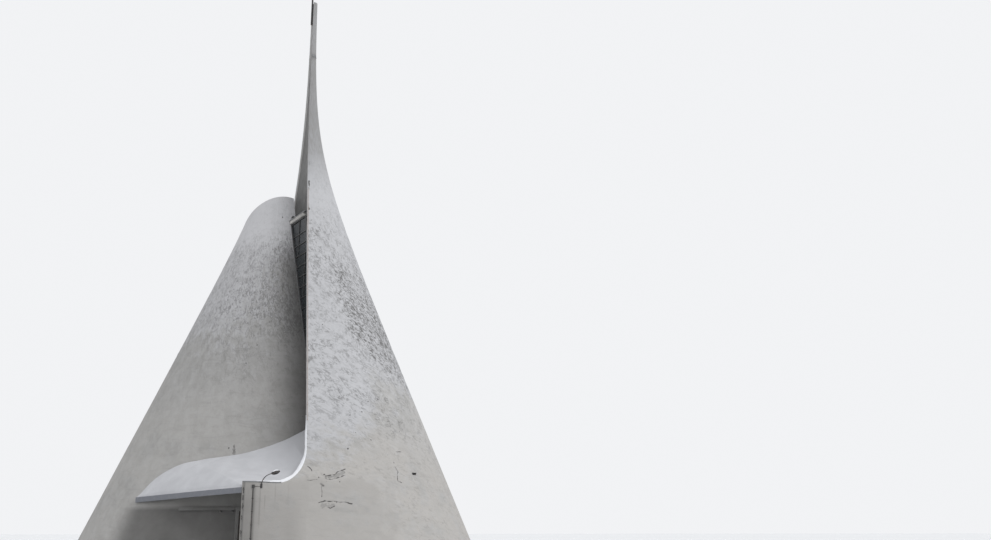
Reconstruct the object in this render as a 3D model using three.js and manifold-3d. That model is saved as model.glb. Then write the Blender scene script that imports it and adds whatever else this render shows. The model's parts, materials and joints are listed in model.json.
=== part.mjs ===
// A church of two conical concrete half shells that slide past each other.
// The tall shell ends in a slender spire, the low shell is cut off below it, and
// a flat glazed wall fills each slot between them. A porch shelters the entrance.
//
// Units are millimetres, +Z is up, and the origin is on the ground midway between
// the axes of the two shells. The tall shell's cut plane runs along Y.
// Angles round a shell start at -Y and turn towards +X.
import * as THREE from 'three';
import { mergeVertices } from 'three/addons/utils/BufferGeometryUtils.js';
import Module from 'manifold-3d';

const wasm = await Module();
wasm.setup();

// Shape of both shells
const TALL = { x: 600, y: -1300 };
const LOW = { x: -600, y: 1300 };
const CONE_SLOPE = 0.43;
const CONE_APEX = 26800;
const FLARE = 1200;
const TIP_RADIUS = 240;
const WALL = 300;
const CORE_RADIUS = 30;
const SWEEP = 196.5;
const END_CHORD = 6;
const SEGMENTS = 5;
const COLUMNS_PER_SEGMENT = 9;
const RING_HEIGHTS = [
  0, 5000, 10000, 14000, 16500, 18000, 19500, 21000, 22000, 23000, 24000, 25000,
  26000, 27000, 28000, 30000, 32000, 34000, 37000,
];

// Heights
const RIM_LOW = 21600;
const RIM_RISE = 1510;
const SPIRE_FOOT = 23000;
const SPIRE_SPLIT = 30000;
const SPIRE_TOP = 37000;
const SPIRE_COLUMNS = 15;
const ROOF_UNDERSIDE = 21000;
const ROOF_DEPTH = 250;
const FLOOR_TOP = 120;

// Glazed slot between the shells, as a vertical plane
const SLOT_ANGLE = 16;
const SLOT_X_AT_ORIGIN = -489;
const SLOT_FINE_FROM = 16500;
const SLOT_FINE_STEP = 250;
const EDGE_GAP = 25;
const GLASS_DEPTH = 30;
const FRAME_DEPTH = 110;
const FRAME_WIDTH = 110;
const TRANSOM_HEIGHTS = [8000, 11000, 14000, 17000, 20000];
const TRANSOM_WIDTH = 90;
const HEAD_HEIGHT = 270;
const HEAD_PROUD = 45;
const HEAD_BACK = 60;

// Doorway through the foot of the low shell
const DOOR_ANGLE = -6;
const DOOR_HALF = 950;
const CHEEK = 180;
const DOOR_HEAD = 2620;
const SURROUND_TOP = 2820;
const SURROUND_FACE = 11450;
const WALL_OVER_DOOR_TOP = 8000;
const COLUMNS_LEFT_OF_DOOR = 3;
const COLUMNS_OVER_DOOR = 3;
const COLUMNS_RIGHT_OF_DOOR = 4;
const LEAF_DEPTH = 50;
const LEAF_FACE = 11410;
const LEAF_SIDE_GAP = 12;
const LEAF_MEETING_GAP = 6;
const LEAF_CLEARANCE = 12;
const PIVOT_INSET = 58;
const PIVOT_RADIUS = 12;
const HANDLE_INSET = 90;
const HANDLE_HEIGHT = 900;
const HANDLE_FOOT = 700;
const HANDLE_SIZE = 30;
const HANDLE_PROUD = 60;

// Wing wall that carries on from the tall shell's near edge
const WING_END = -2750;
const WING_FACE = -12800;
const WING_TOP = 4050;
const WING_LEVEL_COLUMNS = 4;
const WING_SWEEP_START = -1000;
const WING_SWEEP_RISE = 1950;
const WING_SWEEP_COLUMNS = 6;
const WING_ROWS = 4;

// Porch roof between the wing wall and the low shell
const PORCH_DEPTH = 260;
const PORCH_LEFT_COLUMNS = 5;
const PORCH_INNER_COLUMNS = 3;
const PORCH_CLEARANCE = 4;
const PORCH_START_ANGLE = -48;
const PORCH_START_OUT = 60;
const PORCH_TOP_ON_SHELL = [
  [-48, 3420], [-43, 4300], [-37, 4850], [-26, 5320], [-12, 5620], [-1, 6150], [10, 6960], [16, 7420],
];
const PORCH_TOP_AT_EAVE = [[0, 3400], [5, 3750], [9, 3900], [11, 4080], [13, 4450], [15, 5050], [18, 6300]];
const BAND_FROM = -30;
const BAND_FOOT = 2670;
const BAND_TOP = 2850;
const BAND_PROUD = 130;
const BAND_COLUMNS = 6;

// Fittings
const ROUND_SIDES = 10;
const CONDUIT_X = -2200;
const CONDUIT_TOP = 3900;
const CONDUIT_FOOT = 400;
const CONDUIT_WIDTH = 36;
const LAMP_X = -1800;
const LAMP_FOOT = 3720;
const LAMP_PLATE_WIDTH = 120;
const LAMP_PLATE_HEIGHT = 220;
const LAMP_PLATE_DEPTH = 40;
const LAMP_ARM_RADIUS = 22;
const LAMP_ARM_STEPS = 8;
const LAMP_ARM_PATH = [[0, 30, 120], [60, 120, 400], [240, 230, 620], [480, 300, 720]];
const LAMP_HEAD_PLACE = [660, 330, 770];
const LAMP_HEAD_HALF = [230, 80, 70];
const LAMP_HEAD_TILT = -14;
const LAMP_HEAD_SIDES = [12, 6];
const FLOODLIGHT_SIZE = [280, 200, 220];
const FLOODLIGHT_INSET = 260;
const PORCH_LAMP_ANGLES = [-17.1, -13.5];
const PORCH_LAMP_RADIUS = 60;
const PORCH_LAMP_DROP = 90;
const CROSS_WIDTH = 120;
const CROSS_FOOT = 35400;
const CROSS_TOP = 39400;
const CROSS_ARM_HEIGHT = 38500;
const CROSS_ARM_HALF = 750;

// Clearance that keeps neighbouring solids apart
const GAP = 0.4;

const FINISH = {
  concrete: { color: 0xa9a8a4, roughness: 0.9, metalness: 0 },
  paleConcrete: { color: 0xb9b8b2, roughness: 0.88, metalness: 0 },
  roof: { color: 0xc9ccd0, roughness: 0.85, metalness: 0 },
  glass: { color: 0x2c343c, roughness: 0.12, metalness: 0.1 },
  darkMetal: { color: 0x2b2a29, roughness: 0.55, metalness: 0.8 },
  door: { color: 0x1f1c1a, roughness: 0.5, metalness: 0.2 },
};

const { lerp, degToRad, radToDeg, smoothstep } = THREE.MathUtils;
const STEP = SWEEP / (SEGMENTS * COLUMNS_PER_SEGMENT);
const INSIDE_FACET = Math.cos(degToRad(STEP / 2));

function addMesh(group, name, geometry, finish) {
  const mesh = new THREE.Mesh(geometry, new THREE.MeshStandardMaterial(finish));
  mesh.name = name;
  group.add(mesh);
  return mesh;
}

// Value at a place along a list of [place, value] pairs, straight between them
function along(pairs, place) {
  const last = pairs.length - 1;
  let i = 1;
  while (i < last && pairs[i][0] < place) {
    i += 1;
  }
  const [from, start] = pairs[i - 1];
  const [to, end] = pairs[i];
  return lerp(start, end, (place - from) / (to - from));
}

// Profile of a shell: a straight cone that flares into a slender spire
function profile(z) {
  const excess = (CONE_SLOPE * (CONE_APEX - z) - TIP_RADIUS) / FLARE;
  return TIP_RADIUS + FLARE * Math.log1p(Math.exp(excess));
}

const OUTER_RINGS = RING_HEIGHTS.map((z) => [z, profile(z)]);
const INNER_RINGS = OUTER_RINGS.map(([z, r]) => [z, Math.max(r - WALL, CORE_RADIUS)]);

function outerRadius(z) {
  return along(OUTER_RINGS, z);
}

function innerRadius(z) {
  return along(INNER_RINGS, z);
}

// Distance at which a chord over an angle just clears the shell's outer face
function clearOfShell(z, chordAngle) {
  return outerRadius(z) / Math.cos(degToRad(chordAngle / 2)) + GAP;
}

function around(centre, angle, distance, z) {
  const turn = degToRad(angle);
  const x = centre.x + distance * Math.sin(turn);
  const y = centre.y - distance * Math.cos(turn);
  return new THREE.Vector3(x, y, z);
}

// A box whose grid corners are sent to places by a function of the whole-number
// column and row and of the share of the depth
function warpedBox(columns, rows, place) {
  const box = new THREE.BoxGeometry(1, 1, 1, columns, rows, 1);
  box.deleteAttribute('normal');
  box.deleteAttribute('uv');
  const merged = mergeVertices(box);
  const position = merged.getAttribute('position');
  for (let i = 0; i < position.count; i += 1) {
    const column = Math.round((position.getX(i) + 0.5) * columns);
    const row = Math.round((position.getY(i) + 0.5) * rows);
    const depth = position.getZ(i) + 0.5;
    const point = place(column, row, depth);
    position.setXYZ(i, point.x, point.y, point.z);
  }
  merged.computeVertexNormals();
  return merged;
}

function solid(geometry) {
  const bare = geometry.clone();
  bare.deleteAttribute('normal');
  bare.deleteAttribute('uv');
  const merged = mergeVertices(bare);
  const vertProperties = new Float32Array(merged.getAttribute('position').array);
  const triVerts = new Uint32Array(merged.getIndex().array);
  return new wasm.Manifold(new wasm.Mesh({ numProp: 3, vertProperties, triVerts }));
}

function joined(geometries) {
  const whole = geometries.map(solid).reduce((sum, next) => sum.add(next));
  const { vertProperties, triVerts } = whole.getMesh();
  const geometry = new THREE.BufferGeometry();
  geometry.setAttribute('position', new THREE.BufferAttribute(vertProperties, 3));
  geometry.setIndex(new THREE.BufferAttribute(triVerts, 1));
  geometry.computeVertexNormals();
  return geometry;
}

function block(x0, x1, y0, y1, z0, z1) {
  const box = new THREE.BoxGeometry(x1 - x0, y1 - y0, z1 - z0);
  box.translate((x0 + x1) / 2, (y0 + y1) / 2, (z0 + z1) / 2);
  return box;
}

// Ring heights between two levels, with the levels themselves
function levels(bottom, top) {
  const between = RING_HEIGHTS.filter((z) => z > bottom && z < top);
  return [bottom, ...between, top];
}

// Part of a shell. Each side is a function that gives its angle at a distance from
// the axis, and rimAt gives the height of the top at an angle.
function shellPiece(centre, columns, heights, from, to, rimAt) {
  const rows = heights.length - 1;
  return warpedBox(columns, rows, (column, row, depth) => {
    const share = column / columns;
    const middle = lerp(from(outerRadius(heights[0])), to(outerRadius(heights[0])), share);
    const z = row === rows ? rimAt(middle) : heights[row];
    const distance = lerp(innerRadius(z), outerRadius(z), depth);
    const angle = lerp(from(distance), to(distance), share);
    return around(centre, angle, distance, z);
  });
}

// A side in a plane through the axis, set back by a clearance
function radialSide(angle, clearance) {
  return (distance) => angle + radToDeg(clearance / distance);
}

// A side parallel to the middle plane of the doorway
function doorSide(doorAngle, offset) {
  return (distance) => doorAngle + radToDeg(Math.asin(offset / distance));
}

// Rim of the low shell: cut by a slanted plane that is highest towards -Y
function rimHeight(angle) {
  return RIM_LOW + RIM_RISE * Math.max(Math.cos(degToRad(angle)), 0);
}

function addSegments(label, centre, start, heights, rimAt) {
  for (let i = 0; i < SEGMENTS - 1; i += 1) {
    const from = radialSide(start + i * COLUMNS_PER_SEGMENT * STEP, 0);
    const to = radialSide(start + (i + 1) * COLUMNS_PER_SEGMENT * STEP, -GAP);
    const piece = shellPiece(centre, COLUMNS_PER_SEGMENT, heights, from, to, rimAt);
    addMesh(model, `${label}_${i + 1}`, piece, FINISH.concrete);
  }
}

// The last segment of a shell is built round its doorway
function addDoorSegment(label, centre, start, doorAngle, heights, rimAt) {
  const first = radialSide(start + (SEGMENTS - 1) * COLUMNS_PER_SEGMENT * STEP, 0);
  const last = radialSide(start + SWEEP, 0);
  const half = DOOR_HALF + CHEEK;
  const seam = () => WALL_OVER_DOOR_TOP - GAP;
  const foot = levels(0, WALL_OVER_DOOR_TOP - GAP);
  const leftSide = doorSide(doorAngle, -half - GAP);
  const left = shellPiece(centre, COLUMNS_LEFT_OF_DOOR, foot, first, leftSide, seam);
  addMesh(model, `${label}_left_of_door`, left, FINISH.concrete);
  const rightSide = doorSide(doorAngle, half + GAP);
  const right = shellPiece(centre, COLUMNS_RIGHT_OF_DOOR, foot, rightSide, last, seam);
  addMesh(model, `${label}_right_of_door`, right, FINISH.concrete);
  const over = levels(SURROUND_TOP + GAP, WALL_OVER_DOOR_TOP - GAP);
  const overLeft = doorSide(doorAngle, -half);
  const overRight = doorSide(doorAngle, half);
  const lintel = shellPiece(centre, COLUMNS_OVER_DOOR, over, overLeft, overRight, seam);
  addMesh(model, `${label}_over_door`, lintel, FINISH.concrete);
  const above = shellPiece(centre, COLUMNS_PER_SEGMENT, heights, first, last, rimAt);
  addMesh(model, `${label}_above_door`, above, FINISH.concrete);
}

function addShells() {
  const tallTop = () => SPIRE_FOOT - GAP;
  const tall = levels(0, SPIRE_FOOT);
  addSegments('tall_shell', TALL, 0, tall, tallTop);
  const tallUpper = levels(WALL_OVER_DOOR_TOP, SPIRE_FOOT);
  addDoorSegment('tall_shell', TALL, 0, 180 + DOOR_ANGLE, tallUpper, tallTop);
  const low = levels(0, RIM_LOW);
  addSegments('low_shell', LOW, 180, low, rimHeight);
  const lowUpper = levels(WALL_OVER_DOOR_TOP, RIM_LOW + RIM_RISE);
  addDoorSegment('low_shell', LOW, 180, 360 + DOOR_ANGLE, lowUpper, rimHeight);
}

function addSpire() {
  const near = radialSide(0, 0);
  const far = radialSide(SWEEP, 0);
  const foot = levels(SPIRE_FOOT, SPIRE_SPLIT);
  const lower = shellPiece(TALL, SPIRE_COLUMNS, foot, near, far, () => SPIRE_SPLIT - GAP);
  addMesh(model, 'spire_lower', lower, FINISH.concrete);
  const tip = levels(SPIRE_SPLIT, SPIRE_TOP);
  const upper = shellPiece(TALL, SPIRE_COLUMNS, tip, near, far, () => SPIRE_TOP);
  addMesh(model, 'spire_upper', upper, FINISH.concrete);
}

// The slot's plane, moved inwards by an offset: x = slotX(offset) - slotSlope * y
const SLOT_SLOPE = Math.tan(degToRad(SLOT_ANGLE));

function slotX(offset) {
  return SLOT_X_AT_ORIGIN + offset / Math.cos(degToRad(SLOT_ANGLE));
}

// Where that plane meets a circle about an axis, on the side towards -Y
function slotMeets(centre, distance, offset) {
  const shift = slotX(offset) - centre.x;
  const a = 1 + SLOT_SLOPE * SLOT_SLOPE;
  const b = -2 * centre.y - 2 * SLOT_SLOPE * shift;
  const c = centre.y * centre.y + shift * shift - distance * distance;
  const y = (-b - Math.sqrt(b * b - 4 * a * c)) / (2 * a);
  return { x: slotX(offset) - SLOT_SLOPE * y, y };
}

// End of the slot on the low shell's outer face
function slotLeft(z, offset) {
  return slotMeets(LOW, outerRadius(z) + GAP, offset);
}

// End of the slot on the tall shell: on its inner face or, higher up, on its edge
function slotRight(z, offset) {
  const gap = z > SLOT_FINE_FROM ? EDGE_GAP : GAP;
  const inside = slotMeets(TALL, innerRadius(z) * INSIDE_FACET - gap, offset);
  if (inside.x > TALL.x) {
    return inside;
  }
  const onEdge = (slotX(offset) - TALL.x + EDGE_GAP) / SLOT_SLOPE;
  const y = Math.max(onEdge, TALL.y - outerRadius(z));
  return { x: slotX(offset) - SLOT_SLOPE * y, y };
}

// Distance of a point along the slot's plane, from low shell towards tall shell
const ALONG_SLOT = new THREE.Vector2(Math.sin(degToRad(SLOT_ANGLE)), -Math.cos(degToRad(SLOT_ANGLE)));
const ACROSS_SLOT = new THREE.Vector2(-ALONG_SLOT.y, ALONG_SLOT.x);

function distanceAlong(point) {
  return (point.x - SLOT_X_AT_ORIGIN) * ALONG_SLOT.x + point.y * ALONG_SLOT.y;
}

// Upright strip of the slot between two places along it, each given by a function
// of its two ends, and between an outer and an inner offset
function slotStrip(heights, from, to, outer, inner) {
  return warpedBox(1, heights.length - 1, (column, row, depth) => {
    const z = heights[row];
    const start = Math.max(distanceAlong(slotLeft(z, outer)), distanceAlong(slotLeft(z, inner)));
    const end = Math.min(distanceAlong(slotRight(z, outer)), distanceAlong(slotRight(z, inner)));
    const distance = column === 0 ? from(start, end) : to(start, end);
    const offset = lerp(inner, outer, depth);
    const x = SLOT_X_AT_ORIGIN + distance * ALONG_SLOT.x + offset * ACROSS_SLOT.x;
    const y = distance * ALONG_SLOT.y + offset * ACROSS_SLOT.y;
    return new THREE.Vector3(x, y, z);
  });
}

const LEFT_END = (start) => start;
const RIGHT_END = (start, end) => end;

// Heights for the slot's strips, closer together where the slot meets the edge
function slotLevels(bottom, top) {
  const heights = levels(bottom, Math.min(top, SLOT_FINE_FROM));
  for (let z = SLOT_FINE_FROM + SLOT_FINE_STEP; z < top; z += SLOT_FINE_STEP) {
    heights.push(z);
  }
  heights.push(top);
  return heights;
}

function glazingFrame() {
  const outer = -GLASS_DEPTH / 2 - GAP - FRAME_DEPTH;
  const inner = -GLASS_DEPTH / 2 - GAP;
  const full = slotLevels(FLOOR_TOP + GAP, ROOF_UNDERSIDE - GAP);
  const leftStile = slotStrip(full, LEFT_END, (start) => start + FRAME_WIDTH, outer, inner);
  const rightStile = slotStrip(full, (start, end) => end - FRAME_WIDTH, RIGHT_END, outer, inner);
  const rail = (foot) => {
    return slotStrip(levels(foot, foot + TRANSOM_WIDTH), LEFT_END, RIGHT_END, outer, inner);
  };
  const sill = rail(FLOOR_TOP + GAP);
  const head = rail(ROOF_UNDERSIDE - GAP - TRANSOM_WIDTH);
  return joined([leftStile, rightStile, sill, head, ...TRANSOM_HEIGHTS.map(rail)]);
}

function addGlazing(group, label) {
  const full = slotLevels(FLOOR_TOP + GAP, ROOF_UNDERSIDE - GAP);
  const glass = slotStrip(full, LEFT_END, RIGHT_END, -GLASS_DEPTH / 2, GLASS_DEPTH / 2);
  addMesh(group, `${label}_glass`, glass, FINISH.glass);
  addMesh(group, `${label}_glazing_frame`, glazingFrame(), FINISH.darkMetal);
  const cap = levels(ROOF_UNDERSIDE, ROOF_UNDERSIDE + HEAD_HEIGHT);
  const outer = -GLASS_DEPTH / 2 - FRAME_DEPTH - HEAD_PROUD;
  const head = slotStrip(cap, LEFT_END, RIGHT_END, outer, HEAD_BACK - GAP);
  addMesh(group, `${label}_head_cap`, head, FINISH.paleConcrete);
}

// Outline of a slab in the room: inside both shells, round the end of each, and
// along the inner face of each glazed slot. The shells lean inwards, so the slab
// fits inside them at its top and round their ends at its bottom.
function roomOutline(bottom, top) {
  const inner = innerRadius(top) * INSIDE_FACET - GAP;
  const outer = clearOfShell(bottom, END_CHORD);
  const points = [];
  const first = Math.max(slotContactAngle(TALL, inner, HEAD_BACK), 0) + radToDeg(GAP / inner);
  const contact = slotContactAngle(LOW, outer, HEAD_BACK);
  [[TALL, 0], [LOW, 180]].forEach(([centre, start]) => {
    const end = start + SWEEP + radToDeg(GAP / inner);
    points.push(around(centre, start + first, inner, 0));
    for (let angle = start + STEP; angle < end; angle += STEP) {
      if (angle > start + first) {
        points.push(around(centre, angle, inner, 0));
      }
    }
    points.push(around(centre, end, inner, 0));
    points.push(around(centre, end, outer, 0));
    points.push(around(centre, start + 180 + contact, outer, 0));
  });
  return points;
}

// Angle round a shell at which the slot's plane meets a circle about its axis
function slotContactAngle(centre, distance, offset) {
  const meets = slotMeets(centre, distance, offset);
  return radToDeg(Math.atan2(meets.x - centre.x, centre.y - meets.y));
}

function roomSlab(bottom, top) {
  const points = roomOutline(bottom, top).map((p) => new THREE.Vector2(p.x, p.y));
  const shape = new THREE.Shape(points);
  const slab = new THREE.ExtrudeGeometry(shape, { depth: top - bottom, bevelEnabled: false });
  slab.translate(0, 0, bottom);
  return slab;
}

// Places on the wing wall: columns run from its plumb end to the tall shell
function wingColumnX(column) {
  if (column <= WING_LEVEL_COLUMNS) {
    return lerp(WING_END, WING_SWEEP_START, column / WING_LEVEL_COLUMNS);
  }
  const turn = degToRad(90 * (column - WING_LEVEL_COLUMNS) / WING_SWEEP_COLUMNS);
  return lerp(WING_SWEEP_START, TALL.x - GAP, Math.sin(turn));
}

function wingTop(column) {
  if (column <= WING_LEVEL_COLUMNS) {
    return WING_TOP;
  }
  const turn = degToRad(90 * (column - WING_LEVEL_COLUMNS) / WING_SWEEP_COLUMNS);
  return WING_TOP + WING_SWEEP_RISE * (1 - Math.cos(turn));
}

const WING_COLUMNS = WING_LEVEL_COLUMNS + WING_SWEEP_COLUMNS;
const WING_PLUMB_SHARES = [...Array(WING_COLUMNS + 1).keys()].map((column) => {
  const x = wingColumnX(column);
  return [x, smoothstep(TALL.x - x, 0, TALL.x - WING_END)];
});

// Outer face of the wing wall: plumb at its end, with the cone's slope at the shell
function wingFace(x, z) {
  return lerp(TALL.y - outerRadius(z), WING_FACE, along(WING_PLUMB_SHARES, x));
}

// A flat bar that lies on the wing wall's outer face
function barOnWing(x0, x1, z0, z1, thickness) {
  return warpedBox(1, 1, (column, row, depth) => {
    const x = column === 0 ? x0 : x1;
    const z = row === 0 ? z0 : z1;
    return new THREE.Vector3(x, wingFace(x, z) - GAP - thickness * depth, z);
  });
}

function wingWall() {
  return warpedBox(WING_COLUMNS, WING_ROWS, (column, row, depth) => {
    const x = wingColumnX(column);
    const z = wingTop(column) * row / WING_ROWS;
    return new THREE.Vector3(x, wingFace(x, z) + WALL * (1 - depth), z);
  });
}

// Places on the porch roof: its columns follow the eave, the wing wall and then the
// inner face of the tall shell, and on the other side the low shell
const PORCH_WING_START = PORCH_LEFT_COLUMNS;
const PORCH_WING_END = PORCH_LEFT_COLUMNS + WING_COLUMNS;
const PORCH_COLUMNS = PORCH_WING_END + PORCH_INNER_COLUMNS;
const PORCH_CHORD = (SLOT_ANGLE - PORCH_START_ANGLE) / PORCH_COLUMNS;
const PORCH_EAVE_FOOT = PORCH_TOP_AT_EAVE[0][1] - PORCH_DEPTH;
const PORCH_SLOT_OFFSET = -GLASS_DEPTH / 2 - FRAME_DEPTH - 2 * GAP;

function porchOuter(column, z) {
  if (column <= PORCH_WING_START) {
    const start = clearOfShell(PORCH_EAVE_FOOT, PORCH_CHORD) + PORCH_START_OUT;
    const left = around(LOW, PORCH_START_ANGLE, start, z);
    const corner = new THREE.Vector3(WING_END, wingFace(WING_END, z) + WALL + PORCH_CLEARANCE, z);
    return left.lerp(corner, column / PORCH_WING_START);
  }
  if (column < PORCH_WING_END) {
    const x = wingColumnX(column - PORCH_WING_START);
    return new THREE.Vector3(x, wingFace(x, z) + WALL + PORCH_CLEARANCE, z);
  }
  const distance = innerRadius(z) * INSIDE_FACET - PORCH_CLEARANCE;
  const last = slotContactAngle(TALL, distance, PORCH_SLOT_OFFSET);
  return around(TALL, last * (column - PORCH_WING_END) / PORCH_INNER_COLUMNS, distance, z);
}

function porchInner(column, z) {
  const distance = clearOfShell(z, PORCH_CHORD);
  const last = slotContactAngle(LOW, distance, PORCH_SLOT_OFFSET);
  const angle = lerp(PORCH_START_ANGLE, last, column / PORCH_COLUMNS);
  return around(LOW, angle, distance, z);
}

function porchRoof() {
  return warpedBox(PORCH_COLUMNS, 1, (column, row, depth) => {
    const angle = lerp(PORCH_START_ANGLE, SLOT_ANGLE, column / PORCH_COLUMNS);
    const drop = PORCH_DEPTH * (1 - depth);
    if (row === 1) {
      return porchInner(column, along(PORCH_TOP_ON_SHELL, angle) - drop);
    }
    return porchOuter(column, along(PORCH_TOP_AT_EAVE, column) - drop);
  });
}

// Concrete band on the low shell over the entrance, up to the door surround
function porchBand() {
  const from = radialSide(BAND_FROM, 0);
  const to = doorSide(DOOR_ANGLE, -DOOR_HALF - CHEEK - GAP);
  return warpedBox(BAND_COLUMNS, 1, (column, row, depth) => {
    const z = row === 1 ? BAND_TOP : BAND_FOOT;
    const distance = clearOfShell(z, STEP) + depth * BAND_PROUD;
    return around(LOW, lerp(from(distance), to(distance), column / BAND_COLUMNS), distance, z);
  });
}

// Frame and sill of the doorway: X runs across it, Y outwards from the shell's axis,
// so the inner face follows the shell and the outer face is plumb
function surroundPart(x0, x1, z0, z1) {
  return warpedBox(1, 1, (column, row, depth) => {
    const x = column === 0 ? x0 : x1;
    const z = row === 0 ? z0 : z1;
    const inside = Math.sqrt(innerRadius(z) ** 2 - x * x);
    return new THREE.Vector3(x, -lerp(inside, SURROUND_FACE, depth), z);
  });
}

function doorSurround() {
  const half = DOOR_HALF + CHEEK;
  const left = surroundPart(-half, -DOOR_HALF, 0, SURROUND_TOP);
  const right = surroundPart(DOOR_HALF, half, 0, SURROUND_TOP);
  const head = surroundPart(-half, half, DOOR_HEAD, SURROUND_TOP);
  const sill = block(-half, half, -SURROUND_FACE, -innerRadius(FLOOR_TOP), 0, FLOOR_TOP);
  return joined([left, right, head, sill]);
}

// One door leaf, with the axis of its floor and head pivots at the origin of its
// own group
function addLeaf(group, name, side) {
  const pivotX = side * (DOOR_HALF - LEAF_SIDE_GAP - PIVOT_INSET);
  const hinge = new THREE.Group();
  const face = -LEAF_DEPTH / 2;
  hinge.position.set(pivotX, -LEAF_FACE - face, 0);
  const inner = side * LEAF_MEETING_GAP / 2 - pivotX;
  const outer = side * PIVOT_INSET;
  const foot = FLOOR_TOP + LEAF_CLEARANCE;
  const top = DOOR_HEAD - LEAF_CLEARANCE;
  const leaf = block(Math.min(inner, outer), Math.max(inner, outer), face, -face, foot, top);
  const pivotLength = DOOR_HEAD - FLOOR_TOP - 2 * GAP;
  const pivot = new THREE.CylinderGeometry(PIVOT_RADIUS, PIVOT_RADIUS, pivotLength, ROUND_SIDES);
  pivot.rotateX(Math.PI / 2);
  pivot.translate(0, 0, FLOOR_TOP + GAP + pivotLength / 2);
  const barX = inner + side * HANDLE_INSET;
  const middle = FLOOR_TOP + HANDLE_FOOT + HANDLE_HEIGHT / 2;
  const half = HANDLE_SIZE / 2;
  const grip = face - HANDLE_PROUD;
  const bar = block(barX - half, barX + half, grip, grip + HANDLE_SIZE,
    middle - HANDLE_HEIGHT / 2, middle + HANDLE_HEIGHT / 2);
  const stubs = [-1, 1].map((end) => {
    const z = middle + end * (HANDLE_HEIGHT / 2 - HANDLE_SIZE);
    return block(barX - half, barX + half, grip, 0, z - half, z + half);
  });
  addMesh(hinge, name, joined([leaf, pivot, bar, ...stubs]), FINISH.door);
  group.add(hinge);
}

function addDoorway(group, label) {
  const place = new THREE.Group();
  place.position.set(LOW.x, LOW.y, 0);
  place.rotation.z = degToRad(DOOR_ANGLE);
  addMesh(place, `${label}_surround`, doorSurround(), FINISH.paleConcrete);
  addLeaf(place, `${label}_door_left`, -1);
  addLeaf(place, `${label}_door_right`, 1);
  group.add(place);
}

// Everything that the far side repeats, turned half round the origin
function addSlotSide(label) {
  const side = new THREE.Group();
  addGlazing(side, label);
  addMesh(side, `${label}_wing_wall`, wingWall(), FINISH.paleConcrete);
  addMesh(side, `${label}_porch_roof`, porchRoof(), FINISH.roof);
  addMesh(side, `${label}_porch_band`, porchBand(), FINISH.paleConcrete);
  addDoorway(side, label);
  model.add(side);
  return side;
}

function roundBar(points, barRadius) {
  const outline = new THREE.Shape();
  outline.absarc(0, 0, barRadius, 0, 2 * Math.PI);
  const path = new THREE.CatmullRomCurve3(points);
  return new THREE.ExtrudeGeometry(outline, {
    extrudePath: path, steps: LAMP_ARM_STEPS, curveSegments: ROUND_SIDES, bevelEnabled: false,
  });
}

function addCross() {
  const middle = TALL.y;
  const half = CROSS_WIDTH / 2;
  const face = TALL.x - GAP - half * Math.tan(degToRad(SWEEP - 180));
  const stem = block(face - CROSS_WIDTH, face, middle - half, middle + half, CROSS_FOOT, CROSS_TOP);
  const arm = block(face - CROSS_WIDTH, face, middle - CROSS_ARM_HALF, middle + CROSS_ARM_HALF,
    CROSS_ARM_HEIGHT - half, CROSS_ARM_HEIGHT + half);
  addMesh(model, 'cross', joined([stem, arm]), FINISH.darkMetal);
}

// A place on the lamp: across, out from the wing wall, and up from the lamp's foot
function atLamp([across, out, up]) {
  return new THREE.Vector3(LAMP_X + across, wingFace(LAMP_X, LAMP_FOOT) - out, LAMP_FOOT + up);
}

function addWallLamp() {
  const half = LAMP_PLATE_WIDTH / 2;
  const top = LAMP_FOOT + LAMP_PLATE_HEIGHT;
  const plate = barOnWing(LAMP_X - half, LAMP_X + half, LAMP_FOOT, top, LAMP_PLATE_DEPTH);
  const arm = roundBar(LAMP_ARM_PATH.map(atLamp), LAMP_ARM_RADIUS);
  const head = new THREE.SphereGeometry(1, ...LAMP_HEAD_SIDES);
  head.scale(...LAMP_HEAD_HALF);
  head.rotateY(degToRad(LAMP_HEAD_TILT));
  const place = atLamp(LAMP_HEAD_PLACE);
  head.translate(place.x, place.y, place.z);
  addMesh(model, 'wall_lamp', joined([plate, arm, head]), FINISH.darkMetal);
}

function addConduit() {
  const half = CONDUIT_WIDTH / 2;
  const pipe = barOnWing(CONDUIT_X - half, CONDUIT_X + half, CONDUIT_FOOT, CONDUIT_TOP, CONDUIT_WIDTH);
  addMesh(model, 'wall_conduit', pipe, FINISH.darkMetal);
}

function addFloodlight() {
  const [width, depth, height] = FLOODLIGHT_SIZE;
  const foot = ROOF_UNDERSIDE + HEAD_HEIGHT + GAP;
  const end = slotLeft(foot, -GLASS_DEPTH / 2);
  const lamp = block(-width / 2, width / 2, -depth / 2, depth / 2, 0, height);
  lamp.rotateZ(degToRad(-SLOT_ANGLE));
  lamp.translate(end.x + FLOODLIGHT_INSET * ALONG_SLOT.x, end.y + FLOODLIGHT_INSET * ALONG_SLOT.y, foot);
  addMesh(model, 'floodlight', lamp, FINISH.darkMetal);
}

function addPorchLamps() {
  PORCH_LAMP_ANGLES.forEach((angle, i) => {
    const radius = PORCH_LAMP_RADIUS;
    const lamp = new THREE.CylinderGeometry(radius, radius, PORCH_LAMP_DROP, ROUND_SIDES);
    lamp.rotateX(Math.PI / 2);
    const distance = outerRadius(BAND_FOOT - PORCH_LAMP_DROP) + radius + GAP;
    const place = around(LOW, angle, distance, BAND_FOOT - GAP - PORCH_LAMP_DROP / 2);
    lamp.translate(place.x, place.y, place.z);
    addMesh(model, `porch_lamp_${i + 1}`, lamp, FINISH.darkMetal);
  });
}

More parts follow.
